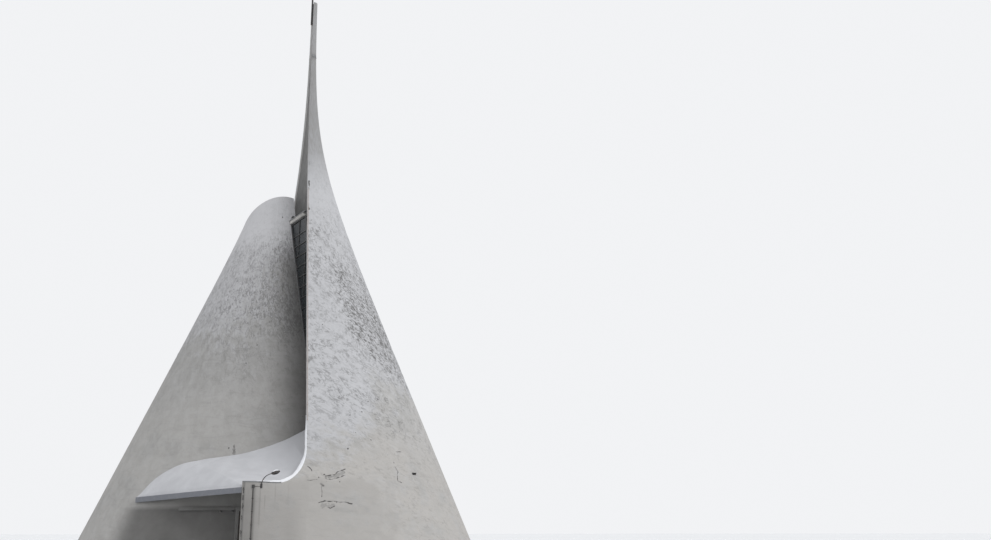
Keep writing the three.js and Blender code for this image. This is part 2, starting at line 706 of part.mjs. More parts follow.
const model = new THREE.Group();
addShells();
addSpire();
addMesh(model, 'ground_floor', roomSlab(0, FLOOR_TOP), FINISH.paleConcrete);
addMesh(model, 'main_roof', roomSlab(ROOF_UNDERSIDE, ROOF_UNDERSIDE + ROOF_DEPTH), FINISH.roof);
addSlotSide('front');
addSlotSide('rear').rotation.z = Math.PI;
addCross();
addWallLamp();
addConduit();
addFloodlight();
addPorchLamps();

export default model;
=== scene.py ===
"""Looks of a concrete church whose two conical half shells slide past each other.

Places are in metres in the frame of the solids: +Z is up and the origin is on the
ground midway between the axes of the two shells. Angles round a shell start at -Y and
turn towards +X. The rear of the building is the front turned half round the origin.
"""
from __future__ import annotations

import json
import logging
import math
from dataclasses import dataclass, replace
from enum import Enum
from typing import Any, Callable, Sequence

import bmesh
import bpy
import numpy as np
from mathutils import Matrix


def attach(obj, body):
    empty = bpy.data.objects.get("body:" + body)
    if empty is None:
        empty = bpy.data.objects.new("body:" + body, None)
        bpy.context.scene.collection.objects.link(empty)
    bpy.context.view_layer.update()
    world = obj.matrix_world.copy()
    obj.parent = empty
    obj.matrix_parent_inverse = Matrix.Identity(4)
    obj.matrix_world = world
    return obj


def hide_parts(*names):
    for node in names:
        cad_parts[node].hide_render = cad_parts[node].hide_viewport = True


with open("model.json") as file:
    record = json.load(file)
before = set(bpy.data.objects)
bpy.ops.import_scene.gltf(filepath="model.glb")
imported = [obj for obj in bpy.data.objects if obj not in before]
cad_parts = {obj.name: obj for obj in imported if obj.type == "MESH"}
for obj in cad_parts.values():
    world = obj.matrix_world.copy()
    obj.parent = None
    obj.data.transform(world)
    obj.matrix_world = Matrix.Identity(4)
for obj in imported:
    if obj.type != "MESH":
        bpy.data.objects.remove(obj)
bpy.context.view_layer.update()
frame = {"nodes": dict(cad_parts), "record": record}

logging.basicConfig(level=logging.INFO, format="%(message)s")
log = logging.getLogger("church")

Array = np.ndarray
Marks = dict[str, np.ndarray]
Pair = tuple[float, float]
Triple = tuple[float, float, float]

BUILDING = "building"
TAU = 2 * math.pi
UP = np.array([0, 0, 1.0])
OUT = np.array([0, -1.0, 0])
EAST = np.array([1.0, 0, 0])
HASH_FACTORS = (73856093, 19349663, 83492791)
HASH_ROUNDS = ((15, 2246822519), (13, 3266489917))


class Slot(Enum):
    """The record's material slots."""

    SPRAYED = "sprayed_concrete"
    CAST = "cast_concrete"
    ROOF = "roof_screed"
    FLOOR = "floor_screed"
    GLASS = "dark_glass"
    BARS = "glazing_metal"
    METAL = "dark_metal"
    DOOR = "door_metal"


class End(Enum):
    """The two like ends of the building."""

    FRONT = "front"
    REAR = "rear"

    def placed(self, points: Array) -> Array:
        """Turns points of the front end to this end."""
        return points if self is End.FRONT else points * np.array([-1.0, -1.0, 1.0])


# Shapes that the building's parts share


def clip(value: Array) -> Array:
    """Keeps values from 0 to 1."""
    return np.clip(value, 0, 1)


def smooth(low: float, high: float, value: Array) -> Array:
    """Eased step: 0 below low, 1 above high and 3t squared less 2t cubed between."""
    t = clip((np.asarray(value, float) - low) / (high - low))
    return t * t * (3 - 2 * t)


def mound(value: Array, centre: float, width: float) -> Array:
    """Bell curve of height 1: e to the power of minus the squared distance in widths."""
    return np.exp(-(((np.asarray(value, float) - centre) / width) ** 2))


def places(*parts: Any) -> Array:
    """Numbers or grids side by side in the last axis, as the coordinates of places."""
    return np.stack(np.broadcast_arrays(*parts), axis=-1)


def even_grid(across: Pair, columns: int, up: Pair, rows: int) -> list[Array]:
    """Even grid between two ends either way: its first and its second numbers."""
    return np.meshgrid(np.linspace(*across, columns + 1), np.linspace(*up, rows + 1))


def hashed(cell: Array, seed: int) -> Array:
    """Scrambles whole-number places to values from 0 to 1.

    Args:
        cell: places, with three whole numbers in the last axis.
        seed: picks the pattern.

    Returns:
        A value for each place.
    """
    wide = (cell + 70000).astype(np.uint64)
    mask = np.uint64(0xFFFFFFFF)
    key = np.uint64(seed * 7919 + 17)
    for axis, factor in enumerate(HASH_FACTORS):
        key = key ^ wide[..., axis] * np.uint64(factor)
    key = key & mask
    for shift, factor in HASH_ROUNDS:
        key = ((key ^ (key >> np.uint64(shift))) * np.uint64(factor)) & mask
    return ((key ^ (key >> np.uint64(16))) & np.uint64(0xFFFFFF)).astype(float) / 0xFFFFFF


def lumps(points: Array, size: float, seed: int, octaves: int = 1) -> Array:
    """Smooth noise: hashed values at the corners of a lattice, eased between them.

    Each further octave has half the size and half the height of the one before.

    Args:
        points: places, with three numbers in the last axis.
        size: lattice spacing in metres.
        seed: picks the pattern.
        octaves: number of layers.

    Returns:
        Values about 0, from -1 to 1.
    """
    total = np.zeros(points.shape[:-1])
    height = 1.0
    for octave in range(octaves):
        place = points / (size / 2**octave)
        cell = np.floor(place).astype(np.int64)
        part = smooth(0, 1, place - cell)
        layer = np.zeros(points.shape[:-1])
        for corner in range(8):
            offset = np.array([corner & 1, corner >> 1 & 1, corner >> 2 & 1])
            weight = np.prod(np.where(offset, part, 1 - part), axis=-1)
            layer += weight * hashed(cell + offset, seed + octave)
        total += height * (2 * layer - 1)
        height /= 2
    return total / (2 - 2 * height)


def curve_through(knots: Sequence[Pair], at: Array) -> Array:
    """Smooth curve through knots: cubic pieces whose slopes are the knots' central slopes.

    Args:
        knots: places and values, in rising order of place.
        at: places to read.

    Returns:
        The values there.
    """
    x, y = np.array(knots, float).T
    slope = np.gradient(y, x)
    at = np.clip(np.asarray(at, float), x[0], x[-1])
    i = np.clip(np.searchsorted(x, at) - 1, 0, len(x) - 2)
    step = x[i + 1] - x[i]
    t = (at - x[i]) / step
    keep = (1 + 2 * t) * (1 - t) ** 2 * y[i] + t * t * (3 - 2 * t) * y[i + 1]
    lean = t * (1 - t) ** 2 * slope[i] - t * t * (1 - t) * slope[i + 1]
    return keep + lean * step


def unit(vectors: Any) -> Array:
    """Vectors divided by their lengths."""
    vectors = np.asarray(vectors, float)
    return vectors / np.linalg.norm(vectors, axis=-1, keepdims=True)


def aside(direction: Array, run: Array) -> Array:
    """Directions square to others and to the world axis that a run follows least."""
    return unit(np.cross(direction, np.eye(3)[np.argmin(np.abs(run))]))


def round_turn(sides: int) -> Array:
    """Equal turns once round."""
    return TAU * np.arange(sides) / sides


def disc(sides: int) -> Array:
    """Round outline of radius 1: cosine and sine of equal turns."""
    return places(np.cos(round_turn(sides)), np.sin(round_turn(sides)))


def dome(share: Array, power: float = 2) -> Array:
    """Round-off from 1 at a share of 0 to 0 at 1 or -1: root of 1 less a power of it."""
    return np.sqrt(clip(1 - np.abs(share) ** power))


def plate(width: float, depth: float, cut: float) -> Array:
    """Rectangle with cut corners, centred on its middle.

    Args:
        width: size along its first number.
        depth: size along its second number.
        cut: size of the cut corners, at most two fifths of either side.

    Returns:
        Its corners in order, two numbers each.
    """
    w, d, c = width / 2, depth / 2, min(cut, width / 2.5, depth / 2.5)
    half = [(w, c - d), (w, d - c), (w - c, d), (c - w, d)]
    return np.array(half + [(-x, -y) for x, y in half])


def quads(index: Array) -> Array:
    """Faces between neighbours in a grid of point numbers."""
    return np.stack([index[:-1, :-1], index[:-1, 1:], index[1:, 1:], index[1:, :-1]], axis=-1)


class Surface:
    """Points and faces that build up one piece.

    They are given for the front end and turned to the surface's own end.
    """

    def __init__(self, end: End = End.FRONT) -> None:
        """Starts with nothing.

        Args:
            end: end of the building that points are turned to.
        """
        self.end = end
        self.points: list[Array] = []
        self.faces: list[Array] = []
        self.marks: dict[str, list[Array]] = {}
        self.count = 0

    def add(self, points: Array, *faces: Array, **marks: Array) -> Surface:
        """Adds points and the faces that number them.

        Args:
            points: places, three numbers each.
            faces: blocks of faces, each block a table with one row for each face.
            marks: a value at each point for each named attribute; flat is the pair of
                numbers that a pattern follows, kept as the UV map.

        Returns:
            The surface.
        """
        spots = self.end.placed(np.asarray(points, float).reshape(-1, 3))
        self.points.append(spots)
        self.faces.extend(np.asarray(block, np.int64) + self.count for block in faces if len(block))
        for name, values in marks.items():
            width = 2 if name == "flat" else 1
            self.marks.setdefault(name, []).append(np.asarray(values, np.float32).reshape(-1, width))
        self.count += len(spots)
        return self

    def sweep(self, outline: Any, spine: Array, across: Any, up: Any, scale: Any = 1.0) -> Surface:
        """Carries a closed outline along a path and closes both ends.

        Each point is the spine's point plus the outline's two numbers times the across
        and up directions there, times the scale there.

        Args:
            outline: closed outline, two numbers a point.
            spine: path, three numbers a point.
            across: direction of the outline's first number, for all or for each point.
            up: direction of its second number, for all or for each point.
            scale: size of the outline, for all or for each point of the path.

        Returns:
            The surface.
        """
        outline, spine = np.asarray(outline, float), np.asarray(spine, float)
        n, m = len(spine), len(outline)
        size = np.broadcast_to(scale, (n,))[:, None, None]
        across, up = (np.broadcast_to(way, (n, 3))[:, None] for way in (across, up))
        points = spine[:, None] + size * (outline[:, :1] * across + outline[:, 1:] * up)
        ring = np.arange(m)
        start = (np.arange(n - 1) * m)[:, None]
        first, second = start + ring, start + np.roll(ring, -1)
        sides = np.stack([first, second, second + m, first + m], axis=-1).reshape(-1, 4)
        return self.add(points, sides, np.stack([ring[::-1], ring + (n - 1) * m]))

    def tube(self, spine: Any, radius: Any, sides: int = 12) -> Surface:
        """Round bar along a path.

        Args:
            spine: path, three numbers a point.
            radius: radius for all or for each point.
            sides: number of flat sides.

        Returns:
            The surface.
        """
        spine = np.asarray(spine, float)
        tangent = unit(np.gradient(spine, axis=0))
        across = aside(tangent, spine[-1] - spine[0])
        return self.sweep(disc(sides), spine, across, np.cross(tangent, across), radius)

    def bar(self, start: Any, end: Any, width: float, depth: float, up: Any, cut: float = 0.004) -> Surface:
        """Straight bar with cut edges and cut ends.

        Args:
            start: middle of one end.
            end: middle of the other end.
            width: size across the up direction.
            depth: size along the up direction.
            up: direction that the depth follows, made square to the bar.
            cut: size of the cut edges.

        Returns:
            The surface.
        """
        start, end, up = (np.asarray(value, float) for value in (start, end, up))
        length = np.linalg.norm(end - start)
        along = (end - start) / length
        rise = unit(up - along * (up @ along))
        back = min(cut, length / 4)
        spine = start + np.array([0, back, length - back, length])[:, None] * along
        inset = 1 - 2 * cut / max(width, depth)
        return self.sweep(plate(width, depth, cut), spine, np.cross(along, rise), rise, [inset, 1, 1, inset])

    def lathe(self, outline: Any, centre: Any, axis: Any = UP, sides: int = 24) -> Surface:
        """Turns an outline round an axis and closes its ends.

        Args:
            outline: radii, and heights along the axis.
            centre: place of height 0.
            axis: direction of the axis.
            sides: number of flat sides.

        Returns:
            The surface.
        """
        outline, axis = np.asarray(outline, float), unit(axis)
        across = aside(axis, axis)
        spine = centre + outline[:, 1:] * axis
        return self.sweep(disc(sides), spine, across, np.cross(axis, across), outline[:, 0])

    def sheet(self, top: Array, bottom: Array, **marks: Array) -> Surface:
        """Solid between two like grids of points, closed all round its border.

        Args:
            top: grid of places on one face.
            bottom: grid of places on the other face.
            marks: values at the top's points; the bottom takes the same.

        Returns:
            The surface.
        """
        index = np.arange(top.size // 3).reshape(top.shape[:2])
        faces = quads(index).reshape(-1, 4)
        rim = np.concatenate([index[0, :-1], index[:-1, -1], index[-1, :0:-1], index[:0:-1, 0]])
        after = np.roll(rim, -1)
        sides = np.stack([after, rim, rim + index.size, after + index.size], axis=-1)
        both = {name: np.stack([values, values]) for name, values in marks.items()}
        return self.add(np.stack([top, bottom]), faces, faces[:, ::-1] + index.size, sides, **both)

    def piece(
        self, name: str, finish: Finish, slot: Slot, body: str = BUILDING, replaces: Sequence[str] = (),
        sharp: float = 38.0,
    ) -> None:
        """Makes the object, gives it its finish and puts it on its body.

        Args:
            name: the piece's name.
            finish: what it looks like.
            slot: the record's slot that the finish belongs to.
            body: the body that carries it.
            replaces: solids that it stands for.
            sharp: edges that turn by more than these degrees stay sharp.
        """
        mesh = bpy.data.meshes.new(name)
        points = np.concatenate(self.points).astype(np.float32)
        corners = np.concatenate([block.reshape(-1) for block in self.faces]).astype(np.int32)
        totals = np.concatenate([np.full(len(block), block.shape[1]) for block in self.faces])
        starts = (np.cumsum(totals) - totals).astype(np.int32)
        mesh.vertices.add(len(points))
        mesh.vertices.foreach_set("co", points.reshape(-1))
        mesh.loops.add(len(corners))
        mesh.loops.foreach_set("vertex_index", corners)
        mesh.polygons.add(len(totals))
        mesh.polygons.foreach_set("loop_start", starts)
        mesh.update(calc_edges=True)
        for mark, blocks in self.marks.items():
            values = np.concatenate(blocks)
            if mark == "flat":
                mesh.uv_layers.new(name="surface").uv.foreach_set("vector", values[corners].reshape(-1))
            else:
                mesh.attributes.new(mark, "FLOAT", "POINT").data.foreach_set("value", values.reshape(-1))
        outward = bmesh.new()
        outward.from_mesh(mesh)
        bmesh.ops.recalc_face_normals(outward, faces=outward.faces)
        outward.to_mesh(mesh)
        outward.free()
        mesh.shade_smooth()
        mesh.set_sharp_from_angle(angle=math.radians(sharp))
        piece = bpy.data.objects.new(name, mesh)
        bpy.context.scene.collection.objects.link(piece)
        mesh.materials.append(finish.material())
        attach(piece, body)
        if replaces:
            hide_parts(*replaces)
        log.info("%s: %d points, %d faces, on %s", name, len(points), len(totals), body)


# Finishes


def math_method(operation: str, swapped: bool = False) -> Callable[[Value, Any], Value]:
    """Makes a method that joins a value and another by one Math node.

    Args:
        operation: what the node does.
        swapped: True where the other comes first.

    Returns:
        The method.
    """

    def method(value: Value, other: Any) -> Value:
        """Adds the node and gives its result."""
        first, second = (other, value) if swapped else (value, other)
        return value.paint.value("ShaderNodeMath", {"operation": operation}, {0: first, 1: second})

    return method


@dataclass(frozen=True)
class Value:
    """A number that a shader node gives out, with arithmetic that adds Math nodes."""

    paint: Paint
    socket: Any

    __add__ = __radd__ = math_method("ADD")
    __sub__ = math_method("SUBTRACT")
    __rsub__ = math_method("SUBTRACT", swapped=True)
    __mul__ = __rmul__ = math_method("MULTIPLY")
    __truediv__ = math_method("DIVIDE")
    most = math_method("MAXIMUM")
    least = math_method("MINIMUM")

    def step(self, low: float, high: float) -> Value:
        """Eased step from 0 at low to 1 at high."""
        settings = {"interpolation_type": "SMOOTHSTEP"}
        return self.paint.value("ShaderNodeMapRange", settings, {0: self, 1: low, 2: high, 3: 0.0, 4: 1.0})


class Paint:
    """One material's nodes. Where a place is None, it is the object's own coordinates."""

    def __init__(self, name: str) -> None:
        """Starts a material with a Principled shader.

        Args:
            name: the material's name.
        """
        self.material = bpy.data.materials.new(name)
        self.material.use_nodes = True
        self.tree = self.material.node_tree
        self.shader = self.tree.nodes["Principled BSDF"]
        coordinates = self.node("ShaderNodeTexCoord", {}, {})
        self.place = coordinates.outputs["Object"]
        self.flat = coordinates.outputs["UV"]

    def node(self, kind: str, settings: dict[str, Any], sockets: dict[Any, Any]) -> bpy.types.Node:
        """Adds a node, sets it up, and then fills or links its sockets.

        Args:
            kind: the node's type.
            settings: its settings by name.
            sockets: values, or things to link, for inputs by name or number.

        Returns:
            The node.
        """
        node = self.tree.nodes.new(kind)
        for name, value in settings.items():
            setattr(node, name, value)
        for key, value in sockets.items():
            self.fill(node.inputs[key], value)
        return node

    def value(self, kind: str, settings: dict[str, Any], sockets: dict[Any, Any], output: Any = 0) -> Value:
        """Adds a node as above and gives one of its outputs as a value."""
        return Value(self, self.node(kind, settings, sockets).outputs[output])

    def fill(self, socket: bpy.types.NodeSocket, value: Any) -> None:
        """Links a value to a socket, or sets the socket to it.

        Args:
            socket: the input to fill.
            value: a link's source, a number or a colour, or None for the object's coordinates.
        """
        source = self.place if value is None else getattr(value, "socket", value)
        if isinstance(source, bpy.types.NodeSocket):
            self.tree.links.new(source, socket)
        elif socket.type == "RGBA":
            socket.default_value = (*source, 1.0)
        else:
            socket.default_value = source

    def mapped(self, where: Any, **sockets: Triple) -> Any:
        """Coordinates turned or scaled."""
        return self.node("ShaderNodeMapping", {}, {"Vector": where, **sockets}).outputs[0]

    def brushed(self, lean: float, length: float, width: float) -> Any:
        """The surface's own flat coordinates, turned by degrees and stretched to strokes."""
        turned = self.mapped(self.flat, Rotation=(0, 0, math.radians(lean)))
        return self.mapped(turned, Scale=(1 / length, 1 / width, 1.0))

    def bent(self, where: Any, amount: float) -> Any:
        """Coordinates shifted by noise, so that a pattern on them wanders.

        Args:
            where: the coordinates.
            amount: how far they are shifted at most.

        Returns:
            The shifted coordinates.
        """
        noise = self.node("ShaderNodeTexNoise", {}, {"Vector": where, "Scale": 1.3, "Detail": 3.0})
        sockets = {0: noise.outputs["Color"], 1: (amount, amount, amount), 2: where}
        return self.node("ShaderNodeVectorMath", {"operation": "MULTIPLY_ADD"}, sockets).outputs[0]

    def noise(
        self, scale: float, detail: float = 3.0, rough: float = 0.5, bend: float = 0.0, where: Any = None
    ) -> Value:
        """Noise from 0 to 1."""
        sockets = {"Vector": where, "Scale": scale, "Detail": detail, "Roughness": rough, "Distortion": bend}
        return self.value("ShaderNodeTexNoise", {}, sockets)

    def cells(self, scale: float, where: Any = None, feature: str = "F1") -> Value:
        """Distance pattern of scattered cells."""
        sockets = {"Vector": where, "Scale": scale}
        return self.value("ShaderNodeTexVoronoi", {"feature": feature}, sockets, "Distance")

    def mark(self, name: str) -> Value:
        """A value that the piece's points carry."""
        return self.value("ShaderNodeAttribute", {"attribute_name": name}, {}, "Fac")

    def mix(self, share: Any, first: Any, second: Any) -> Any:
        """Colour between two colours."""
        return self.node("ShaderNodeMix", {"data_type": "RGBA"}, {0: share, 6: first, 7: second}).outputs[2]

    def bump(self, height: Any, distance: float, strength: float = 1.0) -> None:
        """Roughens the surface by a height."""
        sockets = {"Height": height, "Distance": distance, "Strength": strength}
        self.fill(self.shader.inputs["Normal"], self.node("ShaderNodeBump", {}, sockets).outputs[0])

    def coat(self, colour: Any, rough: Any, metal: float = 0.0, specular: float = 0.5) -> None:
        """Sets the shader's main sockets.

        Args:
            colour: base colour.
            rough: roughness.
            metal: how metallic it is.
            specular: level of its plain reflections.
        """
        names = ("Base Color", "Roughness", "Metallic", "Specular IOR Level")
        for name, value in zip(names, (colour, rough, metal, specular)):
            self.fill(self.shader.inputs[name], value)


Colour = Triple
_made: dict[Finish, bpy.types.Material] = {}


@dataclass(frozen=True)
class Finish:
    """What a surface looks like."""

    name: str

    def material(self) -> bpy.types.Material:
        """Makes the finish's material at the first call and keeps it.

        Returns:
            The material.
        """
        if self not in _made:
            paint = Paint(self.name)
            self.dress(paint)
            _made[self] = paint.material
        return _made[self]

    def dress(self, paint: Paint) -> None:
        """Fills the material's nodes."""
        raise NotImplementedError


@dataclass(frozen=True)
class WeatheredConcrete(Finish):
    """Sprayed concrete under a film of frost, with dark threads, mottles, dirt and painted shade.

    Points carry marks from 0 to 1 that say where each gathers: frost, dark for the
    threads and mottles, a mark for even darkening by dirt and by painted shade, warm for
    the sandy tone, and crack, which is over a half where the surface is open. The
    strokes follow the surface's flat coordinates.
    """

    pale: Colour = (0.50, 0.495, 0.49)
    deep: Colour = (0.375, 0.37, 0.36)
    warm: Colour = (0.475, 0.455, 0.43)
    soil: Colour = (0.085, 0.083, 0.08)
    fleck: Colour = (0.12, 0.117, 0.113)
    film: Colour = (0.505, 0.507, 0.52)
    stone: Colour = (0.20, 0.195, 0.19)
    hollow: Colour = (0.04, 0.038, 0.036)
    lean: float = 38.0
    banding: float = 0.15
    flecking: float = 1.0
    scaling: float = 0.25

    def dress(self, paint: Paint) -> None:
        """Layers: mottled ground, sand, film of frost, bands, scales, flecks, dirt with painted shade, and
        cracks.

        Args:
            paint: the material's nodes.
        """
        clouds = paint.noise(0.42, 4.0, 0.55)
        mottle = paint.noise(1.0, 6.0, 0.68, 0.3, paint.brushed(self.lean, 0.66, 0.38))
        bands = paint.noise(1.0, 5.0, 0.66, 1.2, paint.brushed(2.0, 1.1, 0.33))
        flecks = paint.noise(1.0, 6.0, 0.64, 0.7, paint.brushed(self.lean, 0.27, 0.16))
        lines = paint.noise(1.0, 4.0, 0.6, 1.4, paint.brushed(self.lean, 0.8, 0.36))
        edges = paint.cells(1.0, paint.bent(paint.brushed(6.0, 0.45, 0.72), 0.5), "DISTANCE_TO_EDGE")
        broken = paint.noise(2.1, 4.0, 0.62)
        sand = paint.noise(26.0, 3.0, 0.6)
        grit = paint.noise(42.0, 4.0, 0.7)
        frost, dark, grime, warm = (paint.mark(name) for name in ("frost", "dark", "grime", "warm"))

        tone = clouds.step(0.32, 0.68) * 0.4 + mottle.step(0.35, 0.65) * 0.6
        sandy = warm * (clouds + broken * 0.5).step(0.45, 0.8) * 0.8
        ground = paint.mix(sandy, paint.mix(tone, self.deep, self.pale), self.warm)
        cover = (frost * 1.15 + (mottle - 0.5) * 1.5 + (broken - 0.5) * 0.7 - 0.3).step(0.0, 0.62)
        cover = cover * frost.step(0.0, 0.2)
        banded = bands.step(0.5, 0.68) * (dark * 0.8 + 0.35).least(1.0) * self.banding
        rims = (1 - edges / 0.17).most(0.0) * (broken + flecks * 0.4).step(0.6, 0.82) * dark.least(1.0)
        soft = (flecks * 0.6 + mottle * 0.4 - 0.5 + dark * 0.08).step(-0.01, 0.14) * dark.least(0.6) * 0.4
        spots = (flecks - 0.5 + dark * 0.12 + (broken - 0.5) * 0.5).step(0.13, 0.2)
        spots = spots * (dark * 1.25).least(0.85)
        centre = (lines - 0.5) * 2
        thread = (1 - centre * centre * 170).most(0.0) * (broken + dark * 0.2).step(0.48, 0.62)
        thread = thread * (dark * 1.2).least(0.8)
        flecked = (rims * self.scaling).most(soft.most(spots).most(thread) * self.flecking)
        crack = paint.mark("crack") + (paint.noise(11.0, 4.0, 0.65) - 0.5) * 0.25
        opened = crack.step(0.47, 0.56)

        colour = paint.mix(cover, ground, self.film)
        for share, tone in (
            (banded, self.fleck),
            (flecked, self.fleck),
            ((sand - 0.5).step(0.05, 0.3) * 0.2, self.fleck),
            # Even darkening by the pieces' mark for dirt and painted shade.
            (grime * (clouds * 0.5 + 0.65).least(1.0), self.soil),
            (crack.step(0.33, 0.46) * 0.5, self.stone),
            (opened * 0.9, paint.mix(grit.step(0.42, 0.66) * 0.75, self.hollow, self.stone)),
        ):
            colour = paint.mix(share, colour, tone)
        paint.coat(colour, 0.93 - cover * 0.1 - sand * 0.06, specular=0.22)
        paint.bump(cover * 0.8 + mottle * 1.2 + sand * 0.2 - spots * 0.5 - opened * (1.4 - grit), 0.02, 0.6)


@dataclass(frozen=True)
class CastConcrete(Finish):
    """Cast concrete: clouded, with upright run marks and small blow holes."""

    pale: Colour = (0.46, 0.45, 0.43)
    deep: Colour = (0.31, 0.30, 0.285)
    pit: Colour = (0.12, 0.115, 0.11)
    run: float = 0.5

    def dress(self, paint: Paint) -> None:
        """Clouds, runs stretched along Z, fine sand and holes.

        Args:
            paint: the material's nodes.
        """
        clouds = paint.noise(0.9, 4.0, 0.6)
        runs = paint.noise(5.0, 3.0, 0.6, 0.0, paint.mapped(None, Scale=(1.0, 1.0, 0.09)))
        sand = paint.noise(70.0, 2.0, 0.6)
        holes = paint.cells(9.0).step(0.05, 0.11)
        colour = paint.mix(clouds.step(0.3, 0.7), self.deep, self.pale)
        colour = paint.mix(runs.step(0.5, 0.72) * self.run, colour, self.deep)
        colour = paint.mix((1 - holes) * 0.5, colour, self.pit)
        paint.coat(colour, 0.9 - sand * 0.1, specular=0.25)
        paint.bump(sand * 0.3 + holes + clouds * 0.4, 0.006, 0.5)


@dataclass(frozen=True)
class PackedSnow(Finish):
    """Thin wind-packed snow."""

    pale: Colour = (0.57, 0.575, 0.595)
    deep: Colour = (0.40, 0.403, 0.42)

    def dress(self, paint: Paint) -> None:
        """Soft clouds of tone, a fine crust, and the shade that the piece is marked with.

        Args:
            paint: the material's nodes.
        """
        drifts = paint.noise(1.1, 4.0, 0.6, 0.3)
        crust = paint.noise(34.0, 4.0, 0.7)
        tone = (drifts.step(0.3, 0.75) * 0.35 + crust * 0.5).least(1.0) * (1 - paint.mark("shade"))
        paint.coat(paint.mix(tone + 0.15, self.deep, self.pale), 0.75 + crust * 0.15, specular=0.3)
        paint.bump(drifts * 0.8 + crust * 0.25, 0.02, 0.35)


@dataclass(frozen=True)
class DarkGlass(Finish):
    """Dark glass with dust in clouds and a slight ripple."""

    tint: Colour = (0.022, 0.026, 0.028)
    dusty: Colour = (0.1, 0.105, 0.11)
    rough: float = 0.08

    def dress(self, paint: Paint) -> None:
        """Clouded dark tint, low roughness and a wide ripple.

        Args:
            paint: the material's nodes.
        """
        dust = paint.noise(1.3, 4.0, 0.6)
        colour = paint.mix(dust.step(0.4, 0.8) * 0.3, self.tint, self.dusty)
        paint.coat(colour, self.rough + dust.step(0.4, 0.8) * 0.2, specular=0.36)
        paint.bump(paint.noise(0.8, 1.0), 0.01, 0.15)


@dataclass(frozen=True)
class WornMetal(Finish):
    """Painted or anodised metal with dull patches and a little rust."""

    tone: Colour = (0.05, 0.05, 0.052)
    worn: Colour = (0.14, 0.13, 0.12)
    rust: Colour = (0.17, 0.08, 0.04)
    rusting: float = 0.3
    metal: float = 0.6
    rough: float = 0.45

    def dress(self, paint: Paint) -> None:
        """Dull patches, rust specks and a fine orange-peel.

        Args:
            paint: the material's nodes.
        """
        patch = paint.noise(6.0, 4.0, 0.6)
        speck = paint.noise(28.0, 4.0, 0.7)
        colour = paint.mix(patch.step(0.45, 0.7) * 0.6, self.tone, self.worn)
        colour = paint.mix((speck * 0.6 + patch * 0.5).step(0.58, 0.68) * self.rusting, colour, self.rust)
        paint.coat(colour, self.rough + patch * 0.25, metal=self.metal)
        paint.bump(speck * 0.5 + patch, 0.002, 0.4)


CONCRETE = WeatheredConcrete("weathered sprayed concrete")
LOW_CONCRETE = WeatheredConcrete(
    "banded sprayed concrete", lean=76.0, banding=0.22, flecking=0.72, scaling=0.3,
    film=(0.515, 0.513, 0.525), pale=(0.45, 0.445, 0.44), deep=(0.345, 0.34, 0.33), warm=(0.44, 0.425, 0.40),
)
CAST = CastConcrete("cast concrete")
# Painted light: the porch roof is made near white so that its shaded underside reads brighter.
LIGHTENED_SOFFIT = CastConcrete("soffit concrete", pale=(0.85, 0.845, 0.83), deep=(0.74, 0.735, 0.72), run=0.12)
# Painted shade: a darker copy of cast concrete for the porch band and the door's surround, which lie in the
# porch's shade.
SHADED_CAST = CastConcrete(
    "sheltered stained concrete", pale=(0.21, 0.207, 0.20), deep=(0.15, 0.148, 0.142), run=0.3
)
FLOORING = CastConcrete("floor screed", pale=(0.36, 0.35, 0.33), deep=(0.25, 0.24, 0.23), run=0.0)
ROOFING = CastConcrete("roof screed", pale=(0.30, 0.30, 0.30), deep=(0.2, 0.2, 0.2), run=0.0)
SNOW = PackedSnow("packed snow")
FRESH_SNOW = PackedSnow("fresh snow", pale=(0.80, 0.81, 0.83), deep=(0.66, 0.67, 0.70))
GLASS = DarkGlass("dark glass", dusty=(0.07, 0.073, 0.077))
LENS = DarkGlass("clouded lamp glass", tint=(0.45, 0.45, 0.43))
SMOKED = DarkGlass("smoked lamp glass", tint=(0.02, 0.02, 0.02), dusty=(0.04, 0.04, 0.04), rough=0.4)
FASCIA = WornMetal(
    "blue-grey fascia metal", tone=(0.18, 0.188, 0.21), worn=(0.24, 0.248, 0.265), rusting=0.1, metal=0.2,
    rough=0.6,
)
EDGE_STRIP = WornMetal(
    "rust-stained edge strip", tone=(0.38, 0.35, 0.335), worn=(0.30, 0.26, 0.24), rust=(0.24, 0.16, 0.12),
    rusting=0.5, metal=0.1, rough=0.75,
)
BARS = WornMetal("dark glazing metal", tone=(0.085, 0.085, 0.087), rusting=0.1)
FLASHING = WornMetal("zinc flashing", tone=(0.19, 0.195, 0.2), worn=(0.27, 0.27, 0.27), rusting=0.12)
FITTING = WornMetal("dark fitting metal", rusting=0.5, metal=0.2, rough=0.55)
DULL_PIPE = WornMetal(
    "dull painted pipe", tone=(0.05, 0.049, 0.047), worn=(0.1, 0.095, 0.09), metal=0.1, rough=0.6
)
BRUSHED = WornMetal(
    "brushed door metal", tone=(0.35, 0.34, 0.33), worn=(0.22, 0.21, 0.2), rusting=0.1, metal=0.9
)
DOOR_PAINT = WornMetal("dark door paint", tone=(0.045, 0.037, 0.032), worn=(0.08, 0.07, 0.06), metal=0.1)
SLOT_FINISHES = {
    Slot.SPRAYED: CONCRETE, Slot.CAST: CAST, Slot.ROOF: ROOFING, Slot.FLOOR: FLOORING,
    Slot.GLASS: GLASS, Slot.BARS: BARS, Slot.METAL: FITTING, Slot.DOOR: DOOR_PAINT,
}


# The building as in the solids

